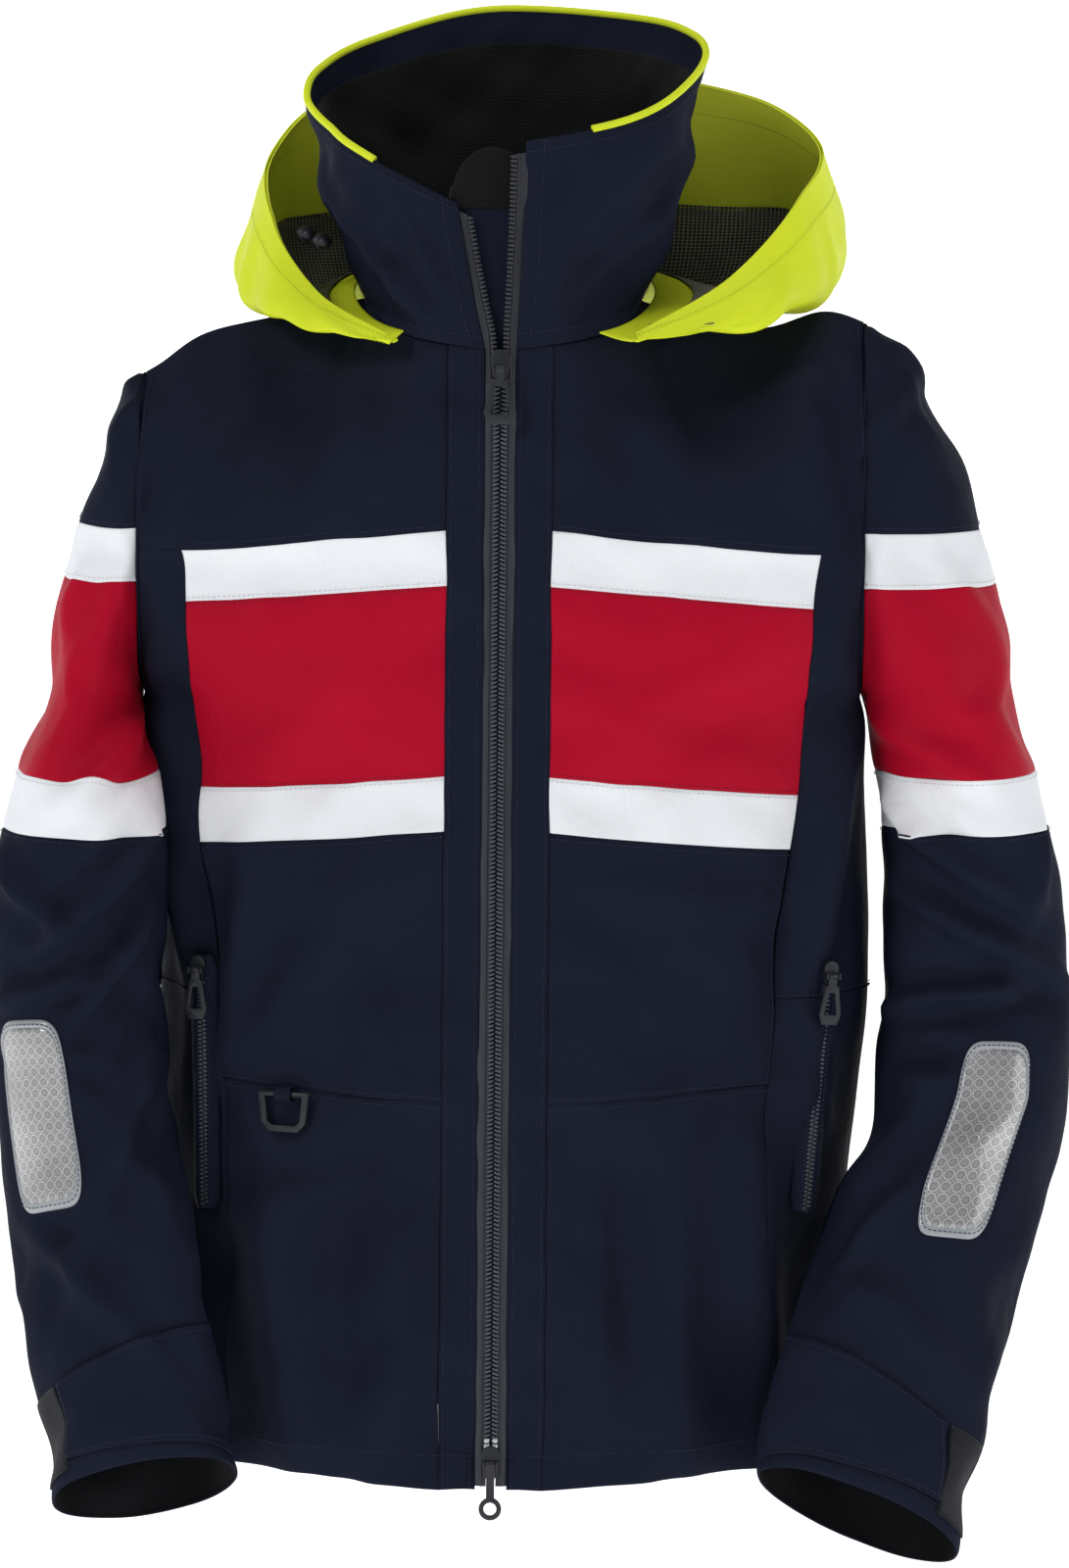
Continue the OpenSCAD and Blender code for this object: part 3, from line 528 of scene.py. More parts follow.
# darker copies of the zip tape and teeth for the open part along the collar's edges: painted shade
SHADED_EDGE_TAPE = hard("zip_edge_tape_painted_shade", (24, 27, 37), rough=0.6, grain=1200, bump=0.10)
SHADED_EDGE_TEETH = hard("zip_edge_teeth_painted_shade", (34, 37, 46), rough=0.45, grain=900, bump=0.08)
TEETH = hard("zip_teeth", (58, 63, 74), rough=0.32, grain=900, bump=0.08)
METAL = hard("hardware", (34, 37, 43), rough=0.42, metallic=0.35, grain=1500, bump=0.12)
PALE_METAL = hard("zip_stop", (196, 198, 200), rough=0.35, metallic=0.8, grain=800, bump=0.05)
THREAD_NAVY = fabric("thread_navy", (38, 43, 64), rough=0.55, sheen=0.03, pitch=0.4, bump=0.6)
THREAD_WHITE = fabric("thread_white", (214, 216, 222), rough=0.55, sheen=0.1, pitch=0.4, bump=0.6)
THREAD_RED = fabric("thread_red", (150, 14, 36), rough=0.55, sheen=0.1, pitch=0.4, bump=0.6)
THREAD_LIME = fabric("thread_lime", (190, 205, 40), rough=0.55, sheen=0.1, pitch=0.4, bump=0.6)


# ---------------------------------------------------------------- the garment's grids
BLOCK_CELLS, SIDE_CELLS = 20, 8
C_BLOCK, C_OUT = 3, 3 + BLOCK_CELLS
SIDE_FADE = (-223.0, -110.0)
SEAM_GAP, SIDE_REST = 0.08, 0.92   # shares of the side panel: its first column, and the others


def join_levels(parts):
    out = [parts[0][0]]
    for z0, z1, n in parts:
        out += list(np.linspace(z0, z1, n + 1)[1:])
    return np.array(out)


ROW_PARTS = [(-692.0, -466.0, 24), (-466.0, -307.0, 17), (-307.0, -275.0, 4),
             (-275.0, -223.0, 6), (-223.0, -164.0, 7), (-164.0, -132.0, 4)]
ROWS = join_levels(ROW_PARTS)
R_POCKET, R_LOW, R_RED0, R_UNDER, R_RED1, R_TOP = np.cumsum([p[2] for p in ROW_PARTS])
YOKE_CELLS = 13


def row_z(level, w):
    """Height of a front seam row at share w of the chest block's width."""
    at_pocket = np.interp(level, [-692, -466, -462], [5, 8, 8])
    slope = np.interp(level, [-466, -400, -307], [8, -13, -13])
    rise = np.where(level <= -466, at_pocket, slope)
    return level + rise * w


def column_places(edge):
    """Column places from the zip to the chest block's outer edge."""
    return np.concatenate([np.linspace(ZIP_W, BLOCK_IN, C_BLOCK + 1),
                           np.linspace(BLOCK_IN, edge, BLOCK_CELLS + 1)[1:]])


def with_side(a):
    """Adds the side panel's half angles, from the block's last column to the side line."""
    share = np.concatenate([[SEAM_GAP], SEAM_GAP + SIDE_REST * np.linspace(0, 1, SIDE_CELLS + 1)[1:]])
    return np.concatenate([a, a[-1] + (np.pi / 2 - a[-1]) * share])


def neckline(u, front):
    """Top edge of a yoke, along the neck seam and then the shoulder, at shares u."""
    turn = 90 * u / NECK_U
    q = np.where(u < NECK_U, turn if front else 180 - turn, 90)
    along = np.clip((u - NECK_U) / (1 - NECK_U), 0, 1)[:, None]
    return np.where((u < NECK_U)[:, None], neck(q), neck(90.0) * (1 - along) + SHOULDER * along)


def yoke_rows(base, top, bulge, f):
    """Rows from the chest row up to the top edge; f is -1 front, 1 back."""
    rows = []
    for v in np.linspace(0, 1, YOKE_CELLS + 1)[1:]:
        b = bulge * 4 * v * (1 - v)
        rows.append(base * (1 - v) + top * v + np.stack([0 * b, f * b, 0.7 * b], axis=1))
    return rows


def front_grid(s):
    rows = []
    for level in ROWS:
        edge = float(outer_x(max(level, BLOCK_FOOT)))
        x = column_places(edge)
        z = row_z(level, np.clip((x - BLOCK_IN) / (edge - BLOCK_IN), 0, 1))
        a = with_side(angle_of(x, z, s))
        z = np.concatenate([z, np.full(len(a) - len(z), z[-1])])
        rows.append(torso(a, z, s, -1))
    u = top_shares(s)
    bulge = 3 * np.clip(u * 6, 0, 1) + 18 * u ** 2
    return np.array(rows + yoke_rows(rows[-1], neckline(u, True), bulge, -1))


def top_shares(s):
    """Share u along the top edge for every column: straight up in the placket, spread beyond."""
    x = column_places(float(outer_x(STRIPE_TOP)))
    u = (with_side(angle_of(x, STRIPE_TOP, s)) / (np.pi / 2)) ** (1 / 0.86)
    placket = np.degrees(np.arcsin(x[:C_BLOCK + 1] / NECK_R)) / 90 * NECK_U
    edge = placket[C_BLOCK]
    out = edge + (1 - edge) * (u - u[C_BLOCK]) / (1 - u[C_BLOCK])
    out[:C_BLOCK + 1] = placket
    return out


def back_grid(s):
    """Columns run from the side line to the centre back."""
    x = np.concatenate([[0], column_places(float(outer_x(STRIPE_TOP)))])
    a = with_side(angle_of(x, STRIPE_TOP, s))
    share = np.clip((np.degrees(a) - 45) / 45, 0, 1)
    rows = []
    for level in list(ROWS) + [-121.0, -110.0]:
        rise = float(row_z(level, 1.0)) - level if level <= STRIPE_TOP else -DROP * (-110 - level) / 22
        fade = np.clip((SIDE_FADE[1] - level) / (SIDE_FADE[1] - SIDE_FADE[0]), 0, 1)
        z = level + rise * (fade if level > SIDE_FADE[0] else 1.0) * share
        rows.append(torso(a, z, s, 1))
    u = np.concatenate([[0], top_shares(s)])
    return np.array(rows + yoke_rows(rows[-1], neckline(u, False), 3 + 18 * u ** 2, 1))[:, ::-1]


R_BACK_YOKE = R_TOP + 2
SLEEVE_PARTS = [16, 4, 9, 5, 4]
S_STRIPE, S_RED, S_UNDER, S_WHITE2, S_NAVY = np.cumsum(SLEEVE_PARTS)
LOWER_CELLS, CUFF_CELLS, AROUND = 40, 10, 48
S_CUFF = S_NAVY + LOWER_CELLS
S_END = S_CUFF + CUFF_CELLS


def sleeve_levels(s):
    turn = np.radians(np.linspace(2.5, math.degrees(math.acos((-134 - ARM_Z) / ARM_H)), SLEEVE_PARTS[0] + 1))
    z = list(ARM_Z + ARM_H * np.cos(turn))
    end = SLEEVE_END[s]
    for z0, z1, n in [(-134, -166, 4), (-166, -236, 9), (-236, -278, 5), (-278, -311, 4),
                      (-311, end + CUFF_H, LOWER_CELLS), (end + CUFF_H, end, CUFF_CELLS)]:
        z += list(np.linspace(z0, z1, n + 1)[1:])
    return np.array(z)


def sleeve_grid(s):
    w = np.linspace(-1, 1, AROUND + 1)
    rows = []
    for i, z in enumerate(sleeve_levels(s)):
        rows.append(head(w, z, s) if i <= S_UNDER else arm(w * 180, z, s))
    return np.array(rows)


class Welded:
    """Grids that share their edge points."""

    def __init__(self):
        self.keys, self.points, self.index = {}, [], {}

    def add(self, name, grid):
        ids = np.empty(grid.shape[:2], int)
        for i in range(grid.shape[0]):
            for j in range(grid.shape[1]):
                k = tuple(int(round(v)) for v in grid[i, j] * WELD)
                if k not in self.keys:
                    self.keys[k] = len(self.points)
                    self.points.append(grid[i, j])
                ids[i, j] = self.keys[k]
        self.index[name] = ids

    def faces(self):
        out = []
        for ids in self.index.values():
            for i in range(ids.shape[0] - 1):
                for j in range(ids.shape[1] - 1):
                    f = [ids[i, j], ids[i, j + 1], ids[i + 1, j + 1], ids[i + 1, j]]
                    f = [v for k, v in enumerate(f) if v != f[k - 1]]
                    if len(set(f)) >= 3:
                        out.append([int(v) for v in f])
        return out


def mirror(g, s):
    out = g.copy()
    out[..., 0] *= s
    return out


body = Welded()
for side_name, s in SIDES.items():
    body.add("front_" + side_name, mirror(front_grid(s), s))
    body.add("back_" + side_name, mirror(back_grid(s), s))
    body.add("sleeve_" + side_name, mirror(sleeve_grid(s), s))
rest = np.array(body.points)


# ---------------------------------------------------------------- folds
def crease(u, z, u0, z0, u1, z1, width, height):
    """Soft ridge of the given height along a line in a panel's own plane."""
    du, dz = u1 - u0, z1 - z0
    t = ((u - u0) * du + (z - z0) * dz) / (du * du + dz * dz)
    tc = np.clip(t, 0, 1)
    side = ((u - u0) * dz - (z - z0) * du) / math.hypot(du, dz)
    past = np.hypot(u - (u0 + tc * du), z - (z0 + tc * dz))
    fade = np.clip(np.sin(np.pi * np.clip(0.06 + 0.88 * tc, 0, 1)), 0, 1) ** 0.8
    lean = np.where(side > 0, 1.0, 0.62) * width
    return height * fade * (np.exp(-(past / lean) ** 2) - 0.5 * np.exp(-((past - 1.7 * width) / width) ** 2))


TORSO_FOLDS = {
    LEFT: [(207, -248, 182, -420, 11, 4.0), (196, -300, 190, -520, 12, 3.0),
           (100, -480, 116, -688, 17, 3.2), (162, -500, 172, -688, 15, 3.4),
           (58, -400, 66, -688, 16, 2.2), (42, -338, 168, -352, 10, 1.8),
           (205, -150, 150, -58, 15, 3.2), (196, -110, 168, -50, 11, 2.2),
           (60, -60, 150, -96, 18, 2.0), (136, -380, 120, -470, 13, 2.2),
           (200, -560, 190, -690, 12, 3.0), (60, -250, 150, -205, 15, 1.6)],
    RIGHT: [(203, -244, 180, -400, 10, 4.6), (182, -300, 186, -470, 11, 3.6),
            (150, -330, 170, -455, 12, 3.2), (140, -480, 118, -688, 16, 3.4),
            (134, -512, 62, -496, 9, -2.8),
            (62, -470, 50, -688, 15, 2.6), (96, -500, 92, -688, 13, -2.0),
            (200, -148, 146, -60, 15, 3.0), (178, -90, 130, -40, 12, 2.2),
            (44, -334, 160, -360, 10, 1.8), (186, -540, 176, -688, 12, 3.2),
            (60, -200, 140, -262, 15, 1.6), (100, -370, 60, -455, 14, 2.0)]}
SLEEVE_FOLDS = {
    LEFT: [(-150, -242, -62, -280, 9, 3.2), (-155, -292, -60, -352, 8, 5.0),
           (-150, -342, -24, -404, 8, 4.6), (-152, -420, -58, -406, 7, 6.4),
           (-148, -446, -40, -470, 9, -3.2), (-60, -498, -134, -584, 10, 3.8),
           (-122, -588, -36, -640, 10, 3.4), (-20, -300, -60, -380, 10, 2.4),
           (40, -420, 140, -400, 9, 3.5), (30, -460, 150, -440, 9, -3.0),
           (60, -300, 120, -360, 11, 3.0), (60, -540, 120, -620, 11, 3.0),
           (-110, -150, -40, -196, 12, 2.0), (100, -180, 40, -230, 12, 2.4)],
    RIGHT: [(-150, -246, -66, -292, 9, 3.4), (-158, -304, -58, -388, 8, 5.4),
            (-150, -352, -88, -430, 7, 5.6), (-24, -326, -84, -372, 8, 4.6),
            (-18, -424, -96, -398, 8, 4.4), (-20, -452, -104, -472, 9, -3.2),
            (-112, -496, -58, -600, 10, 3.8), (-150, -440, -100, -520, 9, 3.2),
            (-40, -560, -110, -640, 9, 3.0), (40, -420, 140, -400, 9, 3.5),
            (60, -300, 120, -360, 11, 3.0), (60, -540, 120, -620, 11, 3.0),
            (-100, -150, -40, -190, 12, 2.0), (100, -180, 40, -230, 12, 2.4)]}


def simulate(points, faces, weights, frames=24):
    """Lets the sewn shell settle as cloth a little larger than its pattern."""
    o = link("garment_cloth", points, faces)
    group = o.vertex_groups.new(name="sewn")
    for i, w in enumerate(weights):
        if w > 0:
            group.add([i], float(w), "REPLACE")
    mod = o.modifiers.new("Cloth", "CLOTH")
    c = mod.settings
    c.quality = 5
    c.mass = 0.12
    c.tension_stiffness = c.compression_stiffness = 18
    c.shear_stiffness = 6
    c.bending_model = "ANGULAR"
    c.bending_stiffness = 3.0
    c.tension_damping = c.compression_damping = 6
    c.air_damping = 3
    c.pin_stiffness = 0.6
    c.vertex_group_mass = "sewn"
    c.shrink_min = c.shrink_max = -0.035
    c.effector_weights.gravity = 0.12
    mod.collision_settings.use_collision = False
    mod.point_cache.frame_start, mod.point_cache.frame_end = 1, frames
    scene = bpy.context.scene
    for f in range(1, frames + 1):
        scene.frame_set(f)
    ev = o.evaluated_get(bpy.context.evaluated_depsgraph_get())
    co = np.empty(len(points) * 3)
    ev.data.vertices.foreach_get("co", co)
    scene.frame_set(1)
    me = o.data
    bpy.data.objects.remove(o)
    bpy.data.meshes.remove(me)
    move = co.reshape(-1, 3) / MM - points
    size = np.linalg.norm(move, axis=1, keepdims=True)
    return move * np.tanh(size / 30) * 30 / np.maximum(size, 1e-6)


def neighbours(faces, n):
    pairs = {(min(a, b), max(a, b)) for f in faces for a, b in zip(f, f[1:] + f[:1])}
    pairs = np.array(sorted(pairs))
    count = np.zeros(n)
    np.add.at(count, pairs[:, 0], 1)
    np.add.at(count, pairs[:, 1], 1)
    return pairs, count


def relax(values, faces, rounds):
    pairs, count = neighbours(faces, len(values))
    for _ in range(rounds):
        total = np.zeros_like(values)
        np.add.at(total, pairs[:, 0], values[pairs[:, 1]])
        np.add.at(total, pairs[:, 1], values[pairs[:, 0]])
        values = 0.5 * values + 0.5 * total / count[:, None]
    return values


all_faces = body.faces()
weights = np.zeros(len(rest))


def pin(name, rows, cols, w):
    ids = body.index[name][rows, cols].ravel()
    weights[ids] = np.maximum(weights[ids], w)


for side_name in SIDES:
    f, b, sl = "front_" + side_name, "back_" + side_name, "sleeve_" + side_name
    every = slice(None)
    pin(f, every, 0, 1.0)
    pin(f, slice(0, 1), every, 0.3)
    pin(b, slice(0, 1), every, 0.3)
    for g in (f, b):
        pin(g, slice(-1, None), every, 1.0)
    pin(f, slice(int(R_UNDER), None), slice(-1, None), 1.0)
    pin(b, slice(int(R_UNDER), None), slice(0, 1), 1.0)
    for r in (R_LOW, R_RED0, R_RED1, R_TOP):
        pin(f, slice(int(r), int(r) + 1), slice(C_BLOCK, C_OUT + 1), 0.35)
    pin(f, every, slice(C_BLOCK, C_BLOCK + 1), 0.35)
    pin(f, slice(int(R_LOW), int(R_TOP) + 1), slice(C_OUT, C_OUT + 1), 0.35)
    pin(f, slice(int(R_POCKET), int(R_POCKET) + 1), slice(C_BLOCK, C_OUT + 1), 0.35)
    pin(sl, slice(0, 1), every, 1.0)
    pin(sl, slice(0, int(S_UNDER) + 1), slice(0, 1), 1.0)
    pin(sl, slice(0, int(S_UNDER) + 1), slice(-1, None), 1.0)
    for r in (S_STRIPE, S_RED, S_WHITE2, S_NAVY):
        pin(sl, slice(int(r), int(r) + 1), every, 0.25)
    pin(sl, slice(int(S_CUFF), int(S_CUFF) + 1), every, 0.5)
    pin(sl, slice(int(S_END), None), every, 0.9)

raw = relax(simulate(rest, all_faces, weights), all_faces, 2)
# keep the buckled folds and take out the drift of the whole shell
move = raw - relax(raw, all_faces, 60)
size = np.linalg.norm(move, axis=1, keepdims=True)
gain = 2.8 / max(float(np.sqrt(np.mean(size ** 2))), 1e-6)
size, move = size * gain, move * gain
move *= np.tanh(size / 6.5) * 6.5 / np.maximum(size, 1e-6)
held = weights > 0.99
loose = np.where(held, 0.0, 1.0)
for _ in range(3):
    loose = relax(loose[:, None], all_faces, 1)[:, 0]
    loose[held] = 0.0
move *= loose[:, None]

PATCH = {RIGHT: (276, 326, -428.0), LEFT: (262, 304, -446.0)}


def patch_window(s, phi, z):
    """1 over the free sleeve and near 0 under the reflective patch, which holds it flat."""
    p0, p1, top = PATCH[s]
    side = np.abs((phi % 360) - (p0 + p1) / 2) - (p1 - p0) / 2
    high = np.abs(z - (top - 60)) - 60
    return np.clip(np.maximum(side * 0.95, high) / 16 + 0.12, 0.12, 1)


GRIDS = {}
for name, ids in body.index.items():
    s = RIGHT if name.endswith("right") else LEFT
    g0 = rest[ids]
    n = grid_normals(g0)
    is_sleeve = name.startswith("sleeve")
    out = g0 - g0.mean(axis=1, keepdims=True) if is_sleeve else g0 * [1, 1, 0]
    if np.sum(n * out) < 0:
        n = -n
    rows_n, cols_n = ids.shape
    z = g0[..., 2]
    if is_sleeve:
        phi = np.broadcast_to(np.linspace(-180, 180, cols_n), ids.shape)
        u = phi * 0.95
        h = np.zeros(ids.shape)
        levels = np.broadcast_to(sleeve_levels(s)[:, None], ids.shape)
        for fold in SLEEVE_FOLDS[s]:
            h += 2.8 * (crease(u, levels, *fold) + crease(u + 342, levels, *fold)
                        + crease(u - 342, levels, *fold))
        edge = np.where(np.arange(rows_n)[:, None] <= S_UNDER,
                        np.clip((180 - np.abs(phi)) / 30, 0, 1), 1.0)
        ends = np.clip((levels - SLEEVE_END[s]) / 60, 0.25, 1)
        calm = patch_window(s, phi, levels)
        h = h * edge * ends * calm
        move[ids] *= calm[..., None]
    elif name.startswith("front"):
        x = np.abs(g0[..., 0])
        h = np.zeros(ids.shape)
        for fold in TORSO_FOLDS[s]:
            h += 2.5 * crease(x, z, *fold)
        k = np.clip(np.arange(cols_n) / 3.0, 0, 1)
        h = h * k
        h += 1.2 * smooth_noise(g0, 150, 3) * k
    else:
        h = 3.0 * smooth_noise(g0 * [1, 0.2, 0.35], 95, 11) + 1.5 * smooth_noise(g0, 60, 12)
        h *= np.clip(np.arange(rows_n)[:, None] / 4.0, 0.4, 1)
    h = h + 0.7 * smooth_noise(g0, 42, 5)
    near_top = np.clip((rows_n - 1 - np.arange(rows_n)[:, None]) / 6.0, 0, 1) \
        if not is_sleeve else np.clip(np.arange(rows_n)[:, None] / 5.0, 0, 1)
    h *= near_top
    if name.startswith("front"):
        at_side = np.clip((cols_n - 1 - np.arange(cols_n)) / 3.0, 0, 1)
        h *= np.where(np.arange(rows_n)[:, None] >= R_UNDER, at_side, 0.35 + 0.65 * at_side)
    if name.startswith("back"):
        at_side = np.clip(np.arange(cols_n) / 3.0, 0, 1)
        h *= at_side
    GRIDS[name] = (ids, n, h)

# push the designed folds out along the normals, averaging where grids share points
push = np.zeros_like(rest)
hits = np.zeros(len(rest))
normal_sum = np.zeros_like(rest)
for name, (ids, n, h) in GRIDS.items():
    np.add.at(push, ids.ravel(), (n * h[..., None]).reshape(-1, 3))
    np.add.at(hits, ids.ravel(), 1)
    np.add.at(normal_sum, ids.ravel(), n.reshape(-1, 3))
shell = rest + move + push / hits[:, None]
# the left shoulder stands fuller than the right one, which slopes away
for s, centre, width, lift in ((RIGHT, 213, 22, -17.0), (LEFT, 232, 34, 13.0), (LEFT, 190, 25, 15.0)):
    near = np.exp(-((shell[:, 0] * s - centre) / width) ** 2)
    near = near * np.clip((shell[:, 2] + 140) / 104, 0, 1) ** 1.3
    shell[:, 2] += near * lift
# the yoke lies back where the hood's left end rests on it
under = np.exp(-((shell[:, 0] - 128) / 32) ** 2) * np.clip((shell[:, 2] + 62) / 26, 0, 1) * (shell[:, 1] < 20)
shell += under[:, None] * [0, 2.0, -5.0]
# fuller cap under the right shoulder point
full = np.exp(-((rest[:, 2] + 68) / 22) ** 2) * np.clip((-rest[:, 0] - 214.6) / 5, 0, 1)
shell[:, 0] -= 6.5 * full
NORMAL = normal_sum / np.maximum(np.linalg.norm(normal_sum, axis=1, keepdims=True), 1e-9)
# a drawn fold runs down from each shoulder point across the seam
for s, line in ((LEFT, (250, -42, 198, -90, 7, 9.0)), (LEFT, (196, -88, 150, -108, 12, 2.2)),
                (RIGHT, (226, -62, 190, -84, 9, 2.6))):
    on_front = np.clip((10 - shell[:, 1]) / 14, 0, 1) * (shell[:, 0] * s > 60)
    shell += NORMAL * (crease(shell[:, 0] * s, shell[:, 2], *line) * on_front)[:, None]
G = {name: shell[ids] for name, (ids, n, h) in GRIDS.items()}
N = {name: NORMAL[ids] for name, (ids, n, h) in GRIDS.items()}


def make_piece(name, parts, material, rides, node_names, thick=1.2, dip=0.8, rim=1.7, inside=None,
               levels=1):
    """One sewn panel from grids (points, normals). Its edges are turned in by dip."""
    bm = bmesh.new()
    uv_layer = bm.loops.layers.uv.new("UVMap")
    seen, norm = {}, {}
    for part in parts:
        pts, nor = part[:2]
        n, m = pts.shape[:2]
        along = np.concatenate([[0], np.cumsum(np.linalg.norm(np.diff(pts[n // 2], axis=0), axis=1))])
        down = np.concatenate([[0], np.cumsum(np.linalg.norm(np.diff(pts[:, m // 2], axis=0), axis=1))])
        vs = np.empty((n, m), object)
        for i in range(n):
            for j in range(m):
                k = tuple(int(round(v)) for v in pts[i, j] * WELD)
                if k not in seen:
                    v = bm.verts.new(pts[i, j] * MM)
                    seen[k] = v
                    norm[v] = nor[i, j]
                vs[i, j] = seen[k]
        flip = float(np.sum(np.cross(np.gradient(pts, axis=1), np.gradient(pts, axis=0)) * nor)) < 0
        for i in range(n - 1):
            for j in range(m - 1):
                ring = [(i, j), (i, j + 1), (i + 1, j + 1), (i + 1, j)]
                corners, used = [], set()
                for a in ring:
                    if vs[a] not in used:
                        used.add(vs[a])
                        corners.append(a)
                if len(corners) < 3:
                    continue
                if flip:
                    corners = corners[::-1]
                try:
                    face = bm.faces.new([vs[a] for a in corners])
                except ValueError:
                    continue
                face.smooth = True
                for loop, a in zip(face.loops, corners):
                    flat = part[2][a] if len(part) > 2 else (along[a[1]], down[a[0]])
                    loop[uv_layer].uv = (flat[0] * MM, flat[1] * MM)
    bm.normal_update()
    if rim:
        bmesh.ops.inset_region(bm, faces=bm.faces[:], thickness=rim * MM, use_boundary=True,
                               use_even_offset=True)
        bm.normal_update()
        sharp = bm.verts.layers.float.new("crease_vert")
        moves = [(v, -v.normal * dip * MM) for v in bm.verts if v.is_boundary]
        for v, d in moves:
            ends = [e.other_vert(v).co - v.co for e in v.link_edges if e.is_boundary]
            if len(ends) == 2 and ends[0].length > 0 and ends[1].length > 0 \
                    and ends[0].angle(ends[1]) < math.radians(135):
                v[sharp] = 1.0
        for v, d in moves:
            v.co += d
    me = bpy.data.meshes.new(name)
    bm.to_mesh(me)
    bm.free()
    o = bpy.data.objects.new(name, me)
    bpy.context.scene.collection.objects.link(o)
    o.data.materials.append(material)
    o.data.materials.append(inside or LINING)
    if levels:
        smooth = o.modifiers.new("Smooth", "SUBSURF")
        smooth.levels = smooth.render_levels = levels
        smooth.boundary_smooth = "PRESERVE_CORNERS"
    if thick:
        solid = o.modifiers.new("Cloth_thickness", "SOLIDIFY")
        solid.thickness = thick * MM
        solid.offset = -1
        solid.material_offset = 1
    bake(o)
    o.data.shade_smooth()
    attach(o, rides, node_names)
    return o


def attach(o, rides, node_names=()):
    if isinstance(rides, str):
        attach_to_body(o, rides)
    else:
        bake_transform(o)
    if node_names:
        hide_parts(*node_names)
    return o


def sub(name, r0, r1, c0, c1):
    g, n = G[name], N[name]
    return g[r0:r1 + 1, c0:c1 + 1], n[r0:r1 + 1, c0:c1 + 1]


def shoulder_ride(s, side_name):
    start = np.array([s * 214.0, 0, -236.0])
    way = np.array([0.9, 0, -0.43]) if s > 0 else np.array([-0.55, 0, -0.83])
    return ("torso", "upper_arm_" + side_name, start, start + way * 48)


def elbow_ride(s, side_name):
    cx, cy = arm_c(-410.0, s)[:2]
    return ("upper_arm_" + side_name, "forearm_" + side_name,
            np.array([s * float(cx), float(cy), -378.0]), np.array([s * float(cx), float(cy), -442.0]))


LAST = G["front_left"].shape[0] - 1
COLS = G["front_left"].shape[1] - 1
BACK_ROWS, BACK_COLS = (n - 1 for n in G["back_left"].shape[:2])
SEAM_DIP, EDGE_DIP = 0.5, 0.8   # how far a panel's edge turns in, mm


for side_name, s in SIDES.items():
    f, b = "front_" + side_name, "back_" + side_name
    for piece, part, material, node_name, dip in (
            ("placket", (0, LAST, 0, C_BLOCK), NAVY, "placket", SEAM_DIP),
            ("yoke", (R_TOP, LAST, C_BLOCK, COLS), NAVY, "front_yoke", EDGE_DIP),
            ("stripe_top", (R_RED1, R_TOP, C_BLOCK, C_OUT), WHITE, "chest_stripes", SEAM_DIP),
            ("stripe_low", (R_LOW, R_RED0, C_BLOCK, C_OUT), WHITE, "chest_stripes", SEAM_DIP),
            ("band", (R_RED0, R_RED1, C_BLOCK, C_OUT), RED, "chest_band", SEAM_DIP),
            ("front_mid", (R_POCKET, R_LOW, C_BLOCK, C_OUT), NAVY, "front_panel", EDGE_DIP),
            ("front_low", (0, R_POCKET, C_BLOCK, C_OUT), NAVY, "front_panel", EDGE_DIP)):
        make_piece("v_%s_%s" % (piece, side_name), [sub(f, *part)], material, "torso",
                   [node_name + "_" + side_name], dip=dip)
    make_piece("v_side_" + side_name, [sub(f, 0, R_TOP, C_OUT, COLS), sub(b, 0, R_UNDER, 0, SIDE_CELLS)],
               NAVY, "torso", ["side_panel_" + side_name])
make_piece("v_back_panel",
           [sub("back_" + n, 0, R_UNDER, SIDE_CELLS, BACK_COLS) for n in SIDES]
           + [sub("back_" + n, R_UNDER, R_BACK_YOKE, 0, BACK_COLS) for n in SIDES],
           NAVY, "torso", ["back_panel"])
make_piece("v_back_yoke", [sub("back_" + n, R_BACK_YOKE, BACK_ROWS, 0, BACK_COLS) for n in SIDES],
           NAVY, "torso", ["back_yoke"])
for side_name, s in SIDES.items():
    sl = "sleeve_" + side_name
    ride = shoulder_ride(s, side_name)
    for piece, r0, r1, material, node_name, dip in (
            ("cap", 0, S_STRIPE, NAVY, "sleeve_cap", EDGE_DIP),
            ("arm_stripe_top", S_STRIPE, S_RED, WHITE, "sleeve_stripes", SEAM_DIP),
            ("arm_band", S_RED, S_WHITE2, RED, "sleeve_band", SEAM_DIP),
            ("arm_stripe_low", S_WHITE2, S_NAVY, WHITE, "sleeve_stripes", SEAM_DIP)):
        make_piece("v_%s_%s" % (piece, side_name), [sub(sl, r0, r1, 0, AROUND)], material, ride,
                   [node_name + "_" + side_name], dip=dip)
    make_piece("v_arm_lower_" + side_name, [sub(sl, S_NAVY, S_END, 0, AROUND)], NAVY,
               elbow_ride(s, side_name),
               ["upper_sleeve_" + side_name, "forearm_" + side_name, "cuff_" + side_name])


# ---------------------------------------------------------------- sampling the finished grids
def sample(name, rr, cc):
    """Points and normals of a garment grid at fractional rows and columns."""
    rr, cc = np.broadcast_arrays(np.asarray(rr, float), np.asarray(cc, float))
    g, n = G[name], N[name]
    r0 = np.clip(np.floor(rr).astype(int), 0, g.shape[0] - 2)
    c0 = np.clip(np.floor(cc).astype(int), 0, g.shape[1] - 2)
    fr, fc = (rr - r0)[..., None], (cc - c0)[..., None]

    def mixed(a):
        return ((a[r0, c0] * (1 - fc) + a[r0, c0 + 1] * fc) * (1 - fr)
                + (a[r0 + 1, c0] * (1 - fc) + a[r0 + 1, c0 + 1] * fc) * fr)
    nn = mixed(n)
    return mixed(g), nn / np.linalg.norm(nn, axis=-1, keepdims=True)


def sleeve_rc(s, phi, z):
    """Row and column on a sleeve; phi 0 outside, 90 back, 180 or -180 inside, -90 front."""
    levels = sleeve_levels(s)
    row = np.interp(-np.asarray(z, float), -levels, np.arange(len(levels)))
    phi = (np.asarray(phi, float) + 180) % 360
    return row, phi / 360 * AROUND


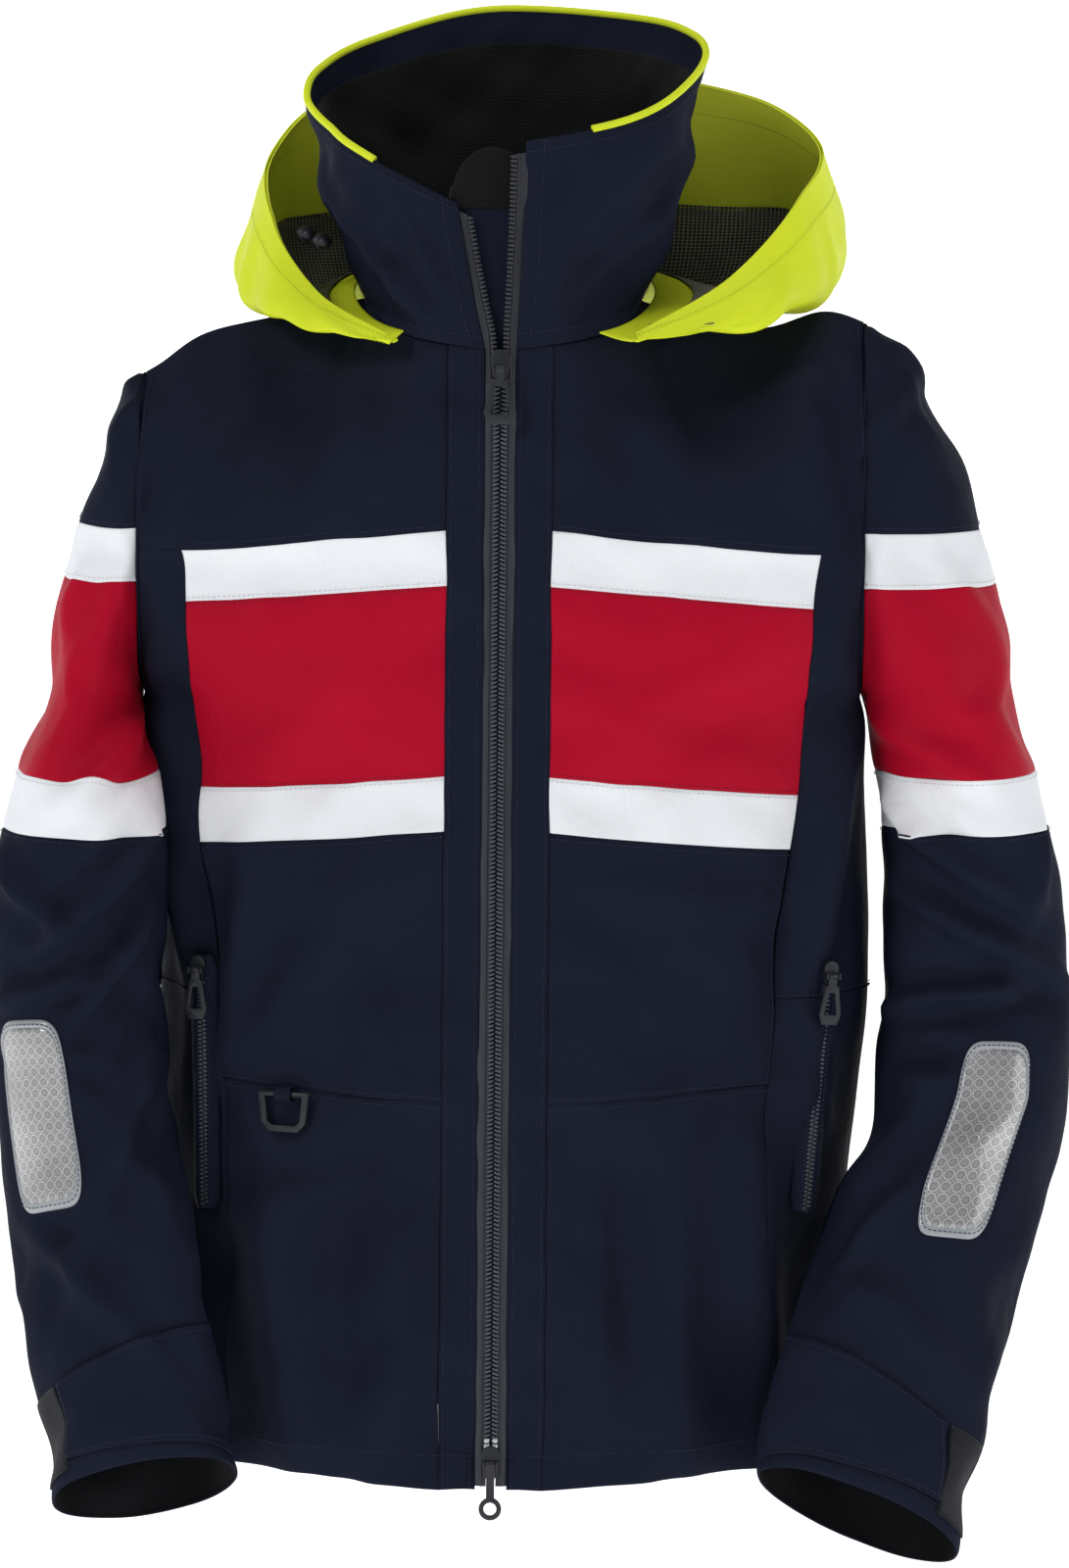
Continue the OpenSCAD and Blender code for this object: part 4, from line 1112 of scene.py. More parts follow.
def resample(path, step):
    """Points at an even spacing along a path, with their normals carried along."""
    pts, nor = path
    seg = np.linalg.norm(np.diff(pts, axis=0), axis=1)
    at = np.concatenate([[0], np.cumsum(seg)])
    n = max(2, int(at[-1] / step))
    t = (np.arange(n) + 0.5) * at[-1] / n
    p = np.stack([np.interp(t, at, pts[:, k]) for k in range(3)], axis=1)
    m = np.stack([np.interp(t, at, nor[:, k]) for k in range(3)], axis=1)
    p2 = np.stack([np.interp(t + 0.1, at, pts[:, k]) for k in range(3)], axis=1)
    p1 = np.stack([np.interp(t - 0.1, at, pts[:, k]) for k in range(3)], axis=1)
    d = p2 - p1
    d /= np.maximum(np.linalg.norm(d, axis=1, keepdims=True), 1e-9)
    m /= np.maximum(np.linalg.norm(m, axis=1, keepdims=True), 1e-9)
    return p, d, m


STITCHES = {}


def stitch(paths, thread, rides, key, step=3.0, length=2.0, width=0.55, lift=0.15):
    """Rows of thread dashes along paths; collected so that one object holds each key's rows."""
    STITCHES.setdefault(key, (thread, rides, []))[2].extend((p, step, length, width, lift) for p in paths)


def boxes(name, spots, material, rides, slot_nodes=()):
    """Many small rounded bars: spots are (centre, along, up, length, width, height)."""
    verts, faces = [], []
    for c, d, u, length, width, height in spots:
        side = np.cross(u, d)
        k = len(verts)
        for t, e, h in ((-0.5, 0.6, 0.0), (-0.3, 1.0, 1.0), (0.3, 1.0, 1.0), (0.5, 0.6, 0.0)):
            for sgn in (-1, 1):
                verts.append(c + d * t * length + side * sgn * 0.5 * width * e + u * (h * height))
            verts.append(c + d * t * length + u * ((h * 1.25 + 0.1) * height))
        for i in range(3):
            a, b = k + 3 * i, k + 3 * (i + 1)
            faces.append((a, b, b + 2, a + 2))
            faces.append((a + 2, b + 2, b + 1, a + 1))
        faces.append((k, k + 2, k + 1))
        faces.append((k + 9, k + 10, k + 11))
    o = link(name, verts, faces)
    me = o.data
    bm = bmesh.new()
    bm.from_mesh(me)
    bmesh.ops.recalc_face_normals(bm, faces=bm.faces[:])
    uv = bm.loops.layers.uv.new("UVMap")
    for face in bm.faces:
        for loop in face.loops:
            loop[uv].uv = (loop.vert.co.x, loop.vert.co.z)
    bm.to_mesh(me)
    bm.free()
    me.shade_smooth()
    me.materials.append(material)
    attach(o, rides, list(slot_nodes))
    return o


def tube(name, pts, radius, material, rides, nodes=(), sides=10, closed=False):
    """Round cord along a path."""
    pts = np.asarray(pts, float)
    d = np.gradient(pts, axis=0)
    if closed:
        d = np.roll(pts, -1, axis=0) - np.roll(pts, 1, axis=0)
    d /= np.linalg.norm(d, axis=1, keepdims=True)
    ref = np.array([0, 0, 1.0])
    verts, faces = [], []
    n = len(pts)
    u = np.cross(d[0], ref)
    if np.linalg.norm(u) < 0.1:
        u = np.cross(d[0], [1, 0, 0])
    for i in range(n):
        u = u - d[i] * (u @ d[i])
        u /= np.linalg.norm(u)
        w = np.cross(d[i], u)
        r = radius if np.isscalar(radius) else radius[i]
        for k in range(sides):
            t = 2 * np.pi * k / sides
            verts.append(pts[i] + r * (np.cos(t) * u + np.sin(t) * w))
    last = n if closed else n - 1
    for i in range(last):
        for k in range(sides):
            a, b = i * sides + k, i * sides + (k + 1) % sides
            c, e = ((i + 1) % n) * sides + (k + 1) % sides, ((i + 1) % n) * sides + k
            faces.append((a, b, c, e))
    if not closed:
        faces.append(tuple(range(sides))[::-1])
        faces.append(tuple((n - 1) * sides + k for k in range(sides)))
    o = link(name, verts, faces)
    bm = bmesh.new()
    bm.from_mesh(o.data)
    bmesh.ops.recalc_face_normals(bm, faces=bm.faces[:])
    uv = bm.loops.layers.uv.new("UVMap")
    for face in bm.faces:
        for loop in face.loops:
            k = loop.vert.index
            loop[uv].uv = ((k % sides) * 0.001, (k // sides) * 0.001)
    bm.to_mesh(o.data)
    bm.free()
    o.data.shade_smooth()
    o.data.materials.append(material)
    return attach(o, rides, list(nodes))


def refined(name, material, rides, width=0.35):
    """A hard part: the frame's own solid with its corners broken."""
    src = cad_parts[name]
    o = bpy.data.objects.new("v_" + name, src.data.copy())
    bpy.context.scene.collection.objects.link(o)
    o.matrix_world = src.matrix_world.copy()
    bm = bmesh.new()
    bm.from_mesh(o.data)
    bmesh.ops.remove_doubles(bm, verts=bm.verts[:], dist=1e-5)
    bmesh.ops.dissolve_limit(bm, angle_limit=math.radians(1.0), verts=bm.verts[:], edges=bm.edges[:])
    bm.to_mesh(o.data)
    bm.free()
    bevel = o.modifiers.new("Broken_corners", "BEVEL")
    bevel.width = width * MM
    bevel.segments = 2
    bevel.limit_method = "ANGLE"
    bevel.angle_limit = math.radians(30)
    bake(o)
    o.data.materials.clear()
    o.data.materials.append(material)
    for p in o.data.polygons:
        p.material_index = 0
    o.data.shade_smooth()
    for e in o.data.edges:
        e.use_edge_sharp = False
    o.data.set_sharp_from_angle(angle=math.radians(40))
    return attach(o, rides, [name])


# ---------------------------------------------------------------- front zip
ZIP_OUT = np.array([0, -1.0, 0.0453]) / np.linalg.norm([0, -1.0, 0.0453])
SLIDER_Z, LOW_SLIDER_Z = -38.0, -676.0
TOOTH = 2.5
OPEN_FROM, OPEN_TO = 6.6, 353.4   # the collar's two front edges, degrees round the neck

for side_name, s in SIDES.items():
    z_low = np.linspace(-690, -46, 90)
    inner = stack(s * 2.9, -front_d(z_low), z_low)
    outer = stack(s * 10.6, -front_d(z_low) + 1.6, z_low)
    v = np.linspace(0.0, 0.93, 24)
    edge = collar(np.full(24, OPEN_FROM if s > 0 else OPEN_TO), v)
    back = collar(np.full(24, 9.5 if s > 0 else 350.5), v)
    out_dir = (back - edge) / np.linalg.norm(back - edge, axis=1, keepdims=True)
    c_outer = edge + out_dir * 1.5 + np.array([0, 1.2, 0])
    c_inner = edge - out_dir * 6.5 + np.array([0, 1.0, 0])
    # the tape runs on from the slider into the collar's edge
    pts_in = np.vstack([inner, c_inner[2:]])
    pts_out = np.vstack([outer, c_outer[2:]])
    mid = (pts_in + pts_out) / 2 + np.array([0, -0.35, 0])
    g = np.stack([pts_in, mid, pts_out], axis=1)
    nor = np.broadcast_to(ZIP_OUT, g.shape).copy()
    make_piece("v_zip_tape_" + side_name, [(g[:90], nor[:90])], TAPE, "torso", ["zip_tape_" + side_name],
               thick=0.9, rim=0, levels=2, inside=TAPE)
    # the tape along the collar's edge is a darker copy of the zip tape: painted shade
    make_piece("v_zip_edge_" + side_name, [(g[89:], nor[89:])], SHADED_EDGE_TAPE, "torso", [],
               thick=0.9, rim=0, levels=2, inside=SHADED_EDGE_TAPE)
    # ribs of the chain, slanting like a coil seen from its back
    spots = []
    n = int((SLIDER_Z - LOW_SLIDER_Z - 12) / TOOTH)
    for i in range(n):
        z = LOW_SLIDER_Z + 10 + i * TOOTH + (0 if s > 0 else TOOTH / 2)
        c = np.array([s * 2.15, -float(front_d(z)) - 0.15, z])
        along = np.array([s * 1.0, 0, -0.32])
        along /= np.linalg.norm(along)
        spots.append((c, along, ZIP_OUT, 4.5, 1.5, 1.5))
    # the open part above the slider, one row on each edge, in a darker copy of the teeth: painted shade
    path = np.vstack([[[s * 3.4, -float(front_d(SLIDER_Z + 4)), SLIDER_Z + 4]], c_inner[3:]])
    p, d, m = resample((path, np.broadcast_to([0, -1.0, 0], path.shape)), TOOTH)
    open_spots = []
    for c, along in zip(p, d):
        across = np.array([-s * 1.0, 0, -0.25]) - along * (np.array([-s * 1.0, 0, -0.25]) @ along)
        across /= np.linalg.norm(across)
        at = c + across * 0.4 + np.array([0, -0.5, 0])
        open_spots.append((at, across, np.array([0, -1.0, 0]), 4.2, 1.5, 1.4))
    boxes("v_zip_teeth_" + side_name, spots, TEETH, "torso", ["zip_teeth_" + side_name])
    boxes("v_zip_open_teeth_" + side_name, open_spots, SHADED_EDGE_TEETH, "torso")
    cord = np.vstack([stack(s * 5.6, -front_d(z_low) - 0.1, z_low),
                      c_inner[3:] + out_dir[3:] * 2.4 - [0, 0.2, 0]])
    tube("v_zip_cord_" + side_name, cord, 0.6, TAPE, "torso", sides=8)

stops = []
for s in (-1, 1):
    for dz in (0.0, 3.2):
        stops.append((np.array([s * 2.4, -float(front_d(-666 + dz)) - 0.6, -666.0 + dz]),
                      np.array([1.0, 0, 0]), ZIP_OUT, 3.8, 2.4, 1.8))
boxes("v_zip_stops", stops, PALE_METAL, "torso")

for n in ("front_slider", "front_pull", "bottom_slider", "bottom_pull", "d_ring"):
    refined(n, METAL, n)
for side_name in SIDES:
    refined("pocket_slider_" + side_name, METAL, "pocket_slider_" + side_name, 0.3)
    refined("pocket_pull_" + side_name, METAL, "pocket_pull_" + side_name, 0.3)
locks = refined("hood_cord_locks", METAL, "torso", 0.5)
lock_shift = Vector((0.004, -0.002, 0.002))
locks.data.transform(Matrix.Translation(locks.matrix_world.to_3x3().inverted() @ lock_shift))

# ---------------------------------------------------------------- collar
QC = np.linspace(OPEN_FROM, OPEN_TO, 132)
VC = np.linspace(0.0, 0.985, 20)


def collar_surface(q, v, offset=0.0):
    q, v = np.meshgrid(q, v)
    p = collar(q, v)
    n = grid_normals(p)
    centre = p * [1, 1, 0] - [0, -6, 0]
    if np.sum(n * centre) < 0:
        n = -n
    fold = 2.2 * smooth_noise(p * [1, 1, 0.45], 62, 21) + 1.2 * smooth_noise(p, 34, 22)
    deg = np.where(q <= 180, q, q - 360)
    zz = v * 100
    fold += crease(deg * 1.6, zz, 40, 20, 150, 74, 9, 3.0) + crease(deg * 1.6, zz, -40, 12, -130, 70, 9, 3.6)
    fold += crease(deg * 1.6, zz, 60, 88, 190, 40, 9, 2.6) + crease(deg * 1.6, zz, -70, 78, -180, 30, 10, 2.6)
    fold += crease(deg * 1.6, zz, -16, 12, -54, 88, 7, 2.6) + crease(deg * 1.6, zz, 24, 10, 46, 92, 8, 2.2)
    edge = np.clip(v * 5, 0.15, 1) * np.clip((1 - v) * 5, 0.15, 1)
    ends = np.clip((q - OPEN_FROM) / 12, 0, 1) * np.clip((OPEN_TO - q) / 12, 0, 1)
    p = p + n * (1.8 * fold * edge * (0.3 + 0.7 * ends) - offset)[..., None]
    return p, n


p, n = collar_surface(QC, VC)
make_piece("v_collar", [(p, n)], NAVY, "torso", ["collar_shell"], thick=1.4, inside=NAVY, rim=1.6, dip=0.5)
COLLAR = (p, n)
p, n = collar_surface(QC[1:-1], np.linspace(0.84, 0.985, 6), 2.0)
make_piece("v_collar_facing", [(p[::-1], -n[::-1])], NAVY, "torso", [],
           thick=0.8, inside=NAVY, rim=1.2, dip=-0.3)
p, n = collar_surface(QC[1:-1], np.linspace(0.0, 0.85, 14), 3.0)
make_piece("v_collar_lining", [(p[::-1], -n[::-1])], FLEECE, "torso", ["collar_lining"], thick=0.8,
           inside=FLEECE, rim=1.2, dip=0.3)
q = np.linspace(26, 324, 150)
rim_pts, _ = collar_surface(q, np.array([0.94, 0.985]), 1.1)
tube("v_collar_piping", rim_pts[1] + [0, 0, 0.6], 2.2, LIME, "torso", ["collar_piping"], sides=12)
p, n = COLLAR
stitch([(p[2] * 0.45 + p[1] * 0.55 + n[1] * 0.2, n[1])], THREAD_NAVY, "torso", "torso_navy")
stitch([(p[-2] + n[-2] * 0.2, n[-2])], THREAD_NAVY, "torso", "torso_navy")
for k in (2, -3):
    stitch([(p[:, k] + n[:, k] * 0.2, n[:, k])], THREAD_NAVY, "torso", "torso_navy")

# flap behind the zip and its chin guard
zf = np.concatenate([np.linspace(58, NECK_Z, 10), np.linspace(NECK_Z, HEM_Z + 8, 40)[1:]])


def flap_y(z):
    return np.where(z > NECK_Z, -91 + 11 * (z - NECK_Z) / 120, -front_d(z) + 7)


rows = []
for z in zf:
    x = np.linspace(-17, 17, 7)
    rows.append(stack(x - 6 * max(0, z) / 58, flap_y(z) + 0.8 * np.sin(z / 23.0), z))
g = np.array(rows)
make_piece("v_storm_flap", [(g, np.broadcast_to([0, -1.0, 0], g.shape))], NAVY, "torso", ["storm_flap"],
           thick=1.2, inside=NAVY, rim=1.2, dip=0.3)
t = np.linspace(0, np.pi, 25)
ring = np.stack([-6 + 24 * np.cos(t), 0 * t, 59 + 31 * np.sin(t)], axis=1)
flat = np.stack([-6 + 24 * np.cos(t), 0 * t, np.full(25, 54.0)], axis=1)
rows = []
for k in np.linspace(0, 1, 8):
    r = flat * (1 - k) + ring * k
    r[:, 1] = flap_y(r[:, 2]) - 0.6 - 1.4 * np.sin(np.pi * k) * np.sin(t)
    rows.append(r)
g = np.array(rows)
make_piece("v_chin_guard", [(g, np.broadcast_to([0, -1.0, 0], g.shape))], FLEECE, "torso", ["chin_guard"],
           thick=1.6, inside=FLEECE, rim=1.0, dip=0.3)
t = np.linspace(0, 2 * np.pi, 48, endpoint=False)
loop_r = 6.2
pts = np.stack([np.sign(np.cos(t)) * 26 + loop_r * np.cos(t), 58 + 0.8 * np.sin(3 * t),
                5 + loop_r * np.sin(t)], axis=1)
tube("v_hanger_loop", pts, 1.7, LINING, "torso", ["hanger_loop"], sides=8, closed=True)

# ---------------------------------------------------------------- hood
QH = np.linspace(40, 320, 150)
WH = np.linspace(0, 1, 26)


def hood_surface(q, w, offset=0.0):
    qq, ww = np.meshgrid(q, w)
    p = hood(qq, ww)
    n = grid_normals(p)
    if n[len(w) // 2, len(q) // 2][1] < 0:
        n = -n
    deg = qq - 180
    fold = np.zeros(qq.shape)
    rng = np.random.default_rng(31)
    for k in range(13):
        at = -128 + k * 21.3 + rng.uniform(-6, 6)
        lean = rng.uniform(-14, 14)
        fold += crease(deg * 2.2, ww * 120, at * 2.2, rng.uniform(0, 25), (at + lean) * 2.2,
                       rng.uniform(75, 118), rng.uniform(7, 12), rng.uniform(2.2, 4.6))
    fold += 1.6 * smooth_noise(p, 48, 33)
    fold *= np.clip(ww * 6, 0.25, 1) * np.clip((1 - ww) * 5, 0.1, 1) \
        * np.clip((qq - 40) / 14, 0.1, 1) * np.clip((320 - qq) / 14, 0.1, 1)
    return p + n * (fold - offset)[..., None], n


p, n = hood_surface(QH, WH)
make_piece("v_hood", [(p, n)], LIME, "torso", ["hood_shell"], thick=1.0, inside=LIME, rim=2.0, dip=-0.4)
HOOD = (p, n)
# mesh and facing follow the shell's own folds on the inside
p, n = HOOD[0].copy(), HOOD[1]
for _ in range(4):
    p[1:-1] = (p[:-2] + 2 * p[1:-1] + p[2:]) / 4
p, n = p[5:24, 8:-8] - n[5:24, 8:-8] * 2.6, n[5:24, 8:-8]
make_piece("v_hood_net", [(p[::-1], -n[::-1])], NET, "torso", ["hood_lining"], thick=0.5, inside=NET,
           rim=1.0, dip=0.2)
# facing inside the hood's rim, in the brighter copy of the lime: painted light
p, n = HOOD[0][0:7, 1:-1], HOOD[1][0:7, 1:-1]
p = p - n * 2.0
make_piece("v_hood_facing", [(p[::-1], -n[::-1])], LIME_LIT_FACING, "torso", [],
           thick=0.7, inside=LIME_LIT_FACING, rim=1.2, dip=-0.3)
stitch([(p[-2] - n[-2] * 1.1, -n[-2]), (p[1] - n[1] * 1.1, -n[1])], THREAD_LIME, "torso", "torso_lime")
p, n = HOOD
stitch([(p[2] + n[2] * 0.3, n[2])], THREAD_LIME, "torso", "torso_lime")

# ---------------------------------------------------------------- patches, tabs and loops
for side_name, s in SIDES.items():
    name = "sleeve_" + side_name
    fore = "forearm_" + side_name
    end = SLEEVE_END[s]
    p0, p1, top = PATCH[s]
    mid_p, half_p = (p0 + p1) / 2, (p1 - p0) / 2
    mid_z, half_z = top - 60, 60.0
    t = np.linspace(0, 2 * np.pi, 73)
    e = 2 / 5.2
    cu = np.sign(np.cos(t)) * np.abs(np.cos(t)) ** e
    cv = np.sign(np.sin(t)) * np.abs(np.sin(t)) ** e

    def disc(k):
        rr, cc = sleeve_rc(s, mid_p + half_p * k[:, None] * cu[None, :] - 360,
                           mid_z + half_z * k[:, None] * cv[None, :])
        return sample(name, rr, cc)
    k = np.linspace(0.003, 0.92, 9)
    pts, nor = disc(k)
    film = np.stack([k[:, None] * cu * half_p * 1.1, k[:, None] * cv * half_z], axis=-1)
    make_piece("v_reflective_" + side_name, [(pts + nor * 1.5, nor, film)], REFLECT, fore,
               ["reflective_patch_" + side_name], thick=0.8, rim=0, levels=1, inside=REFLECT)
    pts, nor = disc(np.array([0.90, 0.93, 0.97, 1.0]))
    lift = np.array([1.2, 2.0, 1.9, 0.9])[:, None, None]
    make_piece("v_reflective_rim_" + side_name, [(pts + nor * lift, nor)], CLEAR, fore, [], thick=0.8,
               rim=0, levels=1, inside=CLEAR)
    pts, nor = disc(np.array([0.95, 0.96]))
    stitch([(pts[0] + nor[0] * 2.0, nor[0])], THREAD_NAVY, fore, fore + "_rim", step=3.0, lift=0.1)
    # strap: a wide stitched wing from the inside of the cuff to its free end over the loop patch
    tab = "cuff_tab_" + side_name
    a = np.linspace(0, 1, 26)
    phi = 196 + (316 - 196) * a
    top = end + 84 + (50 - 84) * a
    low = end + 7 + 4 * a
    b = np.linspace(0, 1, 10)
    z = top[None, :] * (1 - b[:, None]) + low[None, :] * b[:, None]
    rr, cc = sleeve_rc(s, np.broadcast_to(phi + 4 * (b[:, None] - 0.5) * a, z.shape) - 360, z)
    pts, nor = sample(name, rr, cc)
    lift = 1.5 + 1.6 * np.clip(a * 3, 0, 1)
    hinge, _ = sample(name, *sleeve_rc(s, 232 - 360, end + 28))
    ahead, _ = sample(name, *sleeve_rc(s, 244 - 360, end + 28))
    way = (ahead - hinge) / np.linalg.norm(ahead - hinge)
    ride = (fore, tab, hinge - way * 9, hinge + way * 9)
    make_piece("v_cuff_tab_" + side_name, [(pts + nor * lift[None, :, None], nor)], NAVY, ride, [tab],
               thick=1.6, rim=1.4, dip=0.4, inside=NAVY)
    up = pts + nor * (lift[None, :, None] + 0.25)
    rows_t = [(up[0] * 0.55 + up[1] * 0.45, nor[0]), (up[-1] * 0.55 + up[-2] * 0.45, nor[-1]),
              (up[:, -1] * 0.4 + up[:, -2] * 0.6, nor[:, -1])]
    stitch(rows_t, THREAD_NAVY, ride, tab, step=2.8)
    a = np.linspace(0, 1, 9)
    b = np.linspace(0, 1, 10)
    phi = 318 + 38 * a
    rr, cc = sleeve_rc(s, np.broadcast_to(phi, (10, 9)) - 360, (end + 50 - 44 * b)[:, None] + 0 * phi)
    pts, nor = sample(name, rr, cc)
    make_piece("v_loop_patch_" + side_name, [(pts + nor * 1.7, nor)], LOOP, fore,
               ["loop_patch_" + side_name], thick=1.2, rim=1.2, dip=0.6, inside=LOOP)
    # hand pocket zip along the side seam
    xs = [194.0, 182.0] if s > 0 else [173.0, 170.0]

    def on_torso(x, z):
        pt = torso(angle_of(x, z, s), z, s, -1)
        return pt * [s, 1, 1]
    pa, pb = on_torso(xs[0], -386.0), on_torso(xs[1], -536.0)
    near_a = on_torso(xs[0] + 4, -386.0)
    up = (pa - pb) / np.linalg.norm(pa - pb)
    # the frame's zip faces forward of the cloth and stands a little over it
    left_pa = pa * [s, 1, 1]
    left_up = up * [s, 1, 1]
    nn = np.cross(left_up, left_pa - near_a * [s, 1, 1])
    nn = nn / np.linalg.norm(nn) + np.array([0, -1.1, 0])
    nn = nn - (nn @ left_up) * left_up
    nn /= np.linalg.norm(nn)
    nn = nn * [s, 1, 1]
    ex = np.cross(up, nn)
    line = np.linspace(0, 150, 40)
    base = pa[None, :] - up[None, :] * line[:, None] + nn * 3.8
    cols = np.array([-5.2, -2.6, 0, 2.6, 5.2])
    drop = np.array([-2.2, -0.2, 0.0, -0.2, -2.2])
    g = base[:, None, :] + ex * cols[None, :, None] + nn * drop[None, :, None]
    make_piece("v_pocket_zip_" + side_name, [(g, np.broadcast_to(nn, g.shape))], TAPE, "torso",
               ["pocket_zip_" + side_name], thick=1.0, rim=0, levels=1, inside=TAPE)
    spots = []
    for i in range(int(148 / TOOTH)):
        for side in (-1, 1):
            c = pa - up * (1 + i * TOOTH + (0 if side > 0 else TOOTH / 2)) + nn * 4.1 + ex * side * 1.5
            along = ex * side - up * 0.3
            spots.append((c, along / np.linalg.norm(along), nn, 3.0, 1.3, 0.9))
    boxes("v_pocket_teeth_" + side_name, spots, TEETH, "torso")
    # turned cloth lip on each side of the pocket zip
    for k, side in enumerate((-1, 1)):
        lip = []
        for w, h in ((1.7, 0.2), (2.4, 1.0), (4.2, 0.9), (6.6, -1.2), (9.0, -5.0)):
            lip.append(base + ex * side * w + nn * (h + 0.5 * np.sin(line / 19 + k)[:, None]))
        g = np.stack(lip, axis=1)
        taper = np.clip(np.minimum(line + 3, 153 - line) / 9, 0.2, 1)
        g = base[:, None, :] + (g - base[:, None, :]) * (0.55 + 0.45 * taper)[:, None, None]
        make_piece("v_pocket_lip_%s_%d" % (side_name, k), [(g, np.broadcast_to(nn, g.shape))], NAVY,
                   "torso", [], thick=1.0, rim=0, levels=1, inside=NAVY)
        stitch([(g[:, 2] + nn * 0.3, np.broadcast_to(nn, g[:, 2].shape))], THREAD_NAVY, "torso", "torso_navy")

# bags of the hand pockets, hanging free inside the front
for k, (side_name, s) in enumerate(SIDES.items()):
    zz = np.linspace(-385, -570, 16)
    xx = np.linspace(60, 150, 12)
    X, Z = np.meshgrid(xx, zz)
    P = torso(angle_of(X, Z, s), Z, s, -1)
    P[..., 0] *= s
    P[..., 1] += 17 + 3.0 * np.sin(np.pi * (X - 60) / 90) * np.sin(np.pi * (Z + 570) / 185)
    make_piece("v_pocket_bag_" + side_name, [(P, np.broadcast_to([0, 1.0, 0], P.shape))], LINING,
               "torso", ["pocket_bags"] if k == 0 else [], thick=2.6, rim=2.0, dip=0.8)

# D-ring webbing
d0 = torso(angle_of(121.0, -463.0, RIGHT), -463.0, RIGHT, -1) * [-1, 1, 1]
d1 = torso(angle_of(126.0, -463.0, RIGHT), -463.0, RIGHT, -1) * [-1, 1, 1]
ex = (d1 - d0) * [1, 1, 0]
ex /= np.linalg.norm(ex)
out = np.cross(ex, [0, 0, 1])
if out[1] > 0:
    out = -out
loop_line = [(1.0, 4.9), (1.1, 4.7), (1.4, 4.4), (3.6, 3.9), (6.0, 3.9), (8.2, 3.0), (9.5, 0.4), (8.6, -2.4),
             (6.0, -3.9), (3.4, -3.4), (2.0, -1.2), (1.9, 2.0), (1.9, 3.6), (2.0, 4.6)]
g = np.array([[d0 + out * a + np.array([0, 0, b]) + ex * w for w in (-5, -2.5, 0, 2.5, 5)]
              for a, b in loop_line])
make_piece("v_d_ring_loop", [(g, np.broadcast_to(out, g.shape))], NAVY, "torso", ["d_ring_loop"],
           thick=0.9, rim=0, levels=2, inside=NAVY)

# corded seam round each armhole
for side_name, s in SIDES.items():
    ring_f = G["front_" + side_name][R_UNDER:, COLS]
    ring_b = G["back_" + side_name][R_UNDER:, 0]
    path = np.vstack([ring_f, ring_b[::-1][1:]])
    inner = path.mean(axis=0)
    for _ in range(3):
        path[1:-1] = (path[:-2] + 2 * path[1:-1] + path[2:]) / 4
    path += (inner - path) / np.linalg.norm(inner - path, axis=1, keepdims=True) * 0.6
    tube("v_armhole_seam_" + side_name, path, 1.1, NAVY, "torso", sides=8)

# ---------------------------------------------------------------- topstitching on the panels
def down_seam(name, first, last, column):
    """Line down a panel's column, between two rows."""
    rows = np.arange(first, last, 0.5)
    return sample(name, rows, np.full(len(rows), column))


for side_name, s in SIDES.items():
    f, b, sl = "front_" + side_name, "back_" + side_name, "sleeve_" + side_name
    cell = (BLOCK_IN - ZIP_W) / 3
    block = np.arange(C_BLOCK, C_OUT + 0.01, 0.5)
    wide = np.arange(0, COLS + 0.01, 0.5)
    navy = [down_seam(f, 0, LAST + 0.01, 3.0 / cell), down_seam(f, 0, LAST + 0.01, 3 - 2.6 / cell)]
    navy += [sample(f, row, block)
             for row in (R_TOP + 0.36, R_LOW - 0.36, R_POCKET - 0.34, R_POCKET + 0.34)]
    navy += [sample(panel, 2.1, wide) for panel in (f, b)]
    navy += [down_seam(f, R_UNDER, LAST - 0.5, COLS - 0.45), down_seam(b, R_UNDER, BACK_ROWS - 0.5, 0.45),
             down_seam(f, R_POCKET, R_LOW, C_OUT - 0.35), down_seam(b, 0, R_UNDER, SIDE_CELLS + 0.35),
             sample(b, R_BACK_YOKE + 0.36, np.arange(0, BACK_COLS, 0.5))]
    stitch(navy, THREAD_NAVY, "torso", "torso_navy")
    stitch([sample(f, r, block) for r in (R_RED1 + 0.25, R_RED0 - 0.25)], THREAD_WHITE, "torso", "torso_white")
    stitch([sample(f, r, block) for r in (R_RED1 - 0.2, R_RED0 + 0.2)], THREAD_RED, "torso", "torso_red")
    around = np.arange(0, AROUND + 0.01, 0.5)
    ride = shoulder_ride(s, side_name)
    stitch([sample(sl, S_STRIPE - 0.3, around)], THREAD_NAVY, ride, "cap_" + side_name)
    stitch([sample(sl, S_RED - 0.3, around), sample(sl, S_WHITE2 + 0.3, around)], THREAD_WHITE, ride,
           "armw_" + side_name)
    stitch([sample(sl, S_NAVY + 0.3, around)], THREAD_NAVY, elbow_ride(s, side_name), "arml_" + side_name)
    stitch([sample(sl, S_END - 1.2, around)], THREAD_NAVY, "forearm_" + side_name, "fore_" + side_name)

for side_name, s in SIDES.items():
    level = np.interp(-395.0, ROWS, np.arange(len(ROWS)))
    pts, nor = sample("front_" + side_name, level, np.arange(C_OUT, COLS + 0.01, 0.5))
    tube("v_pocket_seam_" + side_name, pts + nor * 0.1, 0.8, NAVY, "torso", sides=8)
    stitch([(pts + [0, 0, 2.6] + nor * 0.3, nor)], THREAD_NAVY, "torso", "torso_navy")

for key, (thread, rides, rows) in STITCHES.items():
    spots = []
    for path, step, length, width, lift in rows:
        p, d, m = resample(path, step)
        for c, along, up in zip(p, d, m):
            up = up - along * (up @ along)
            up /= np.linalg.norm(up)
            spots.append((c + up * lift, along, up, length, width, 0.35))
    boxes("v_stitch_" + key, spots, thread, rides)


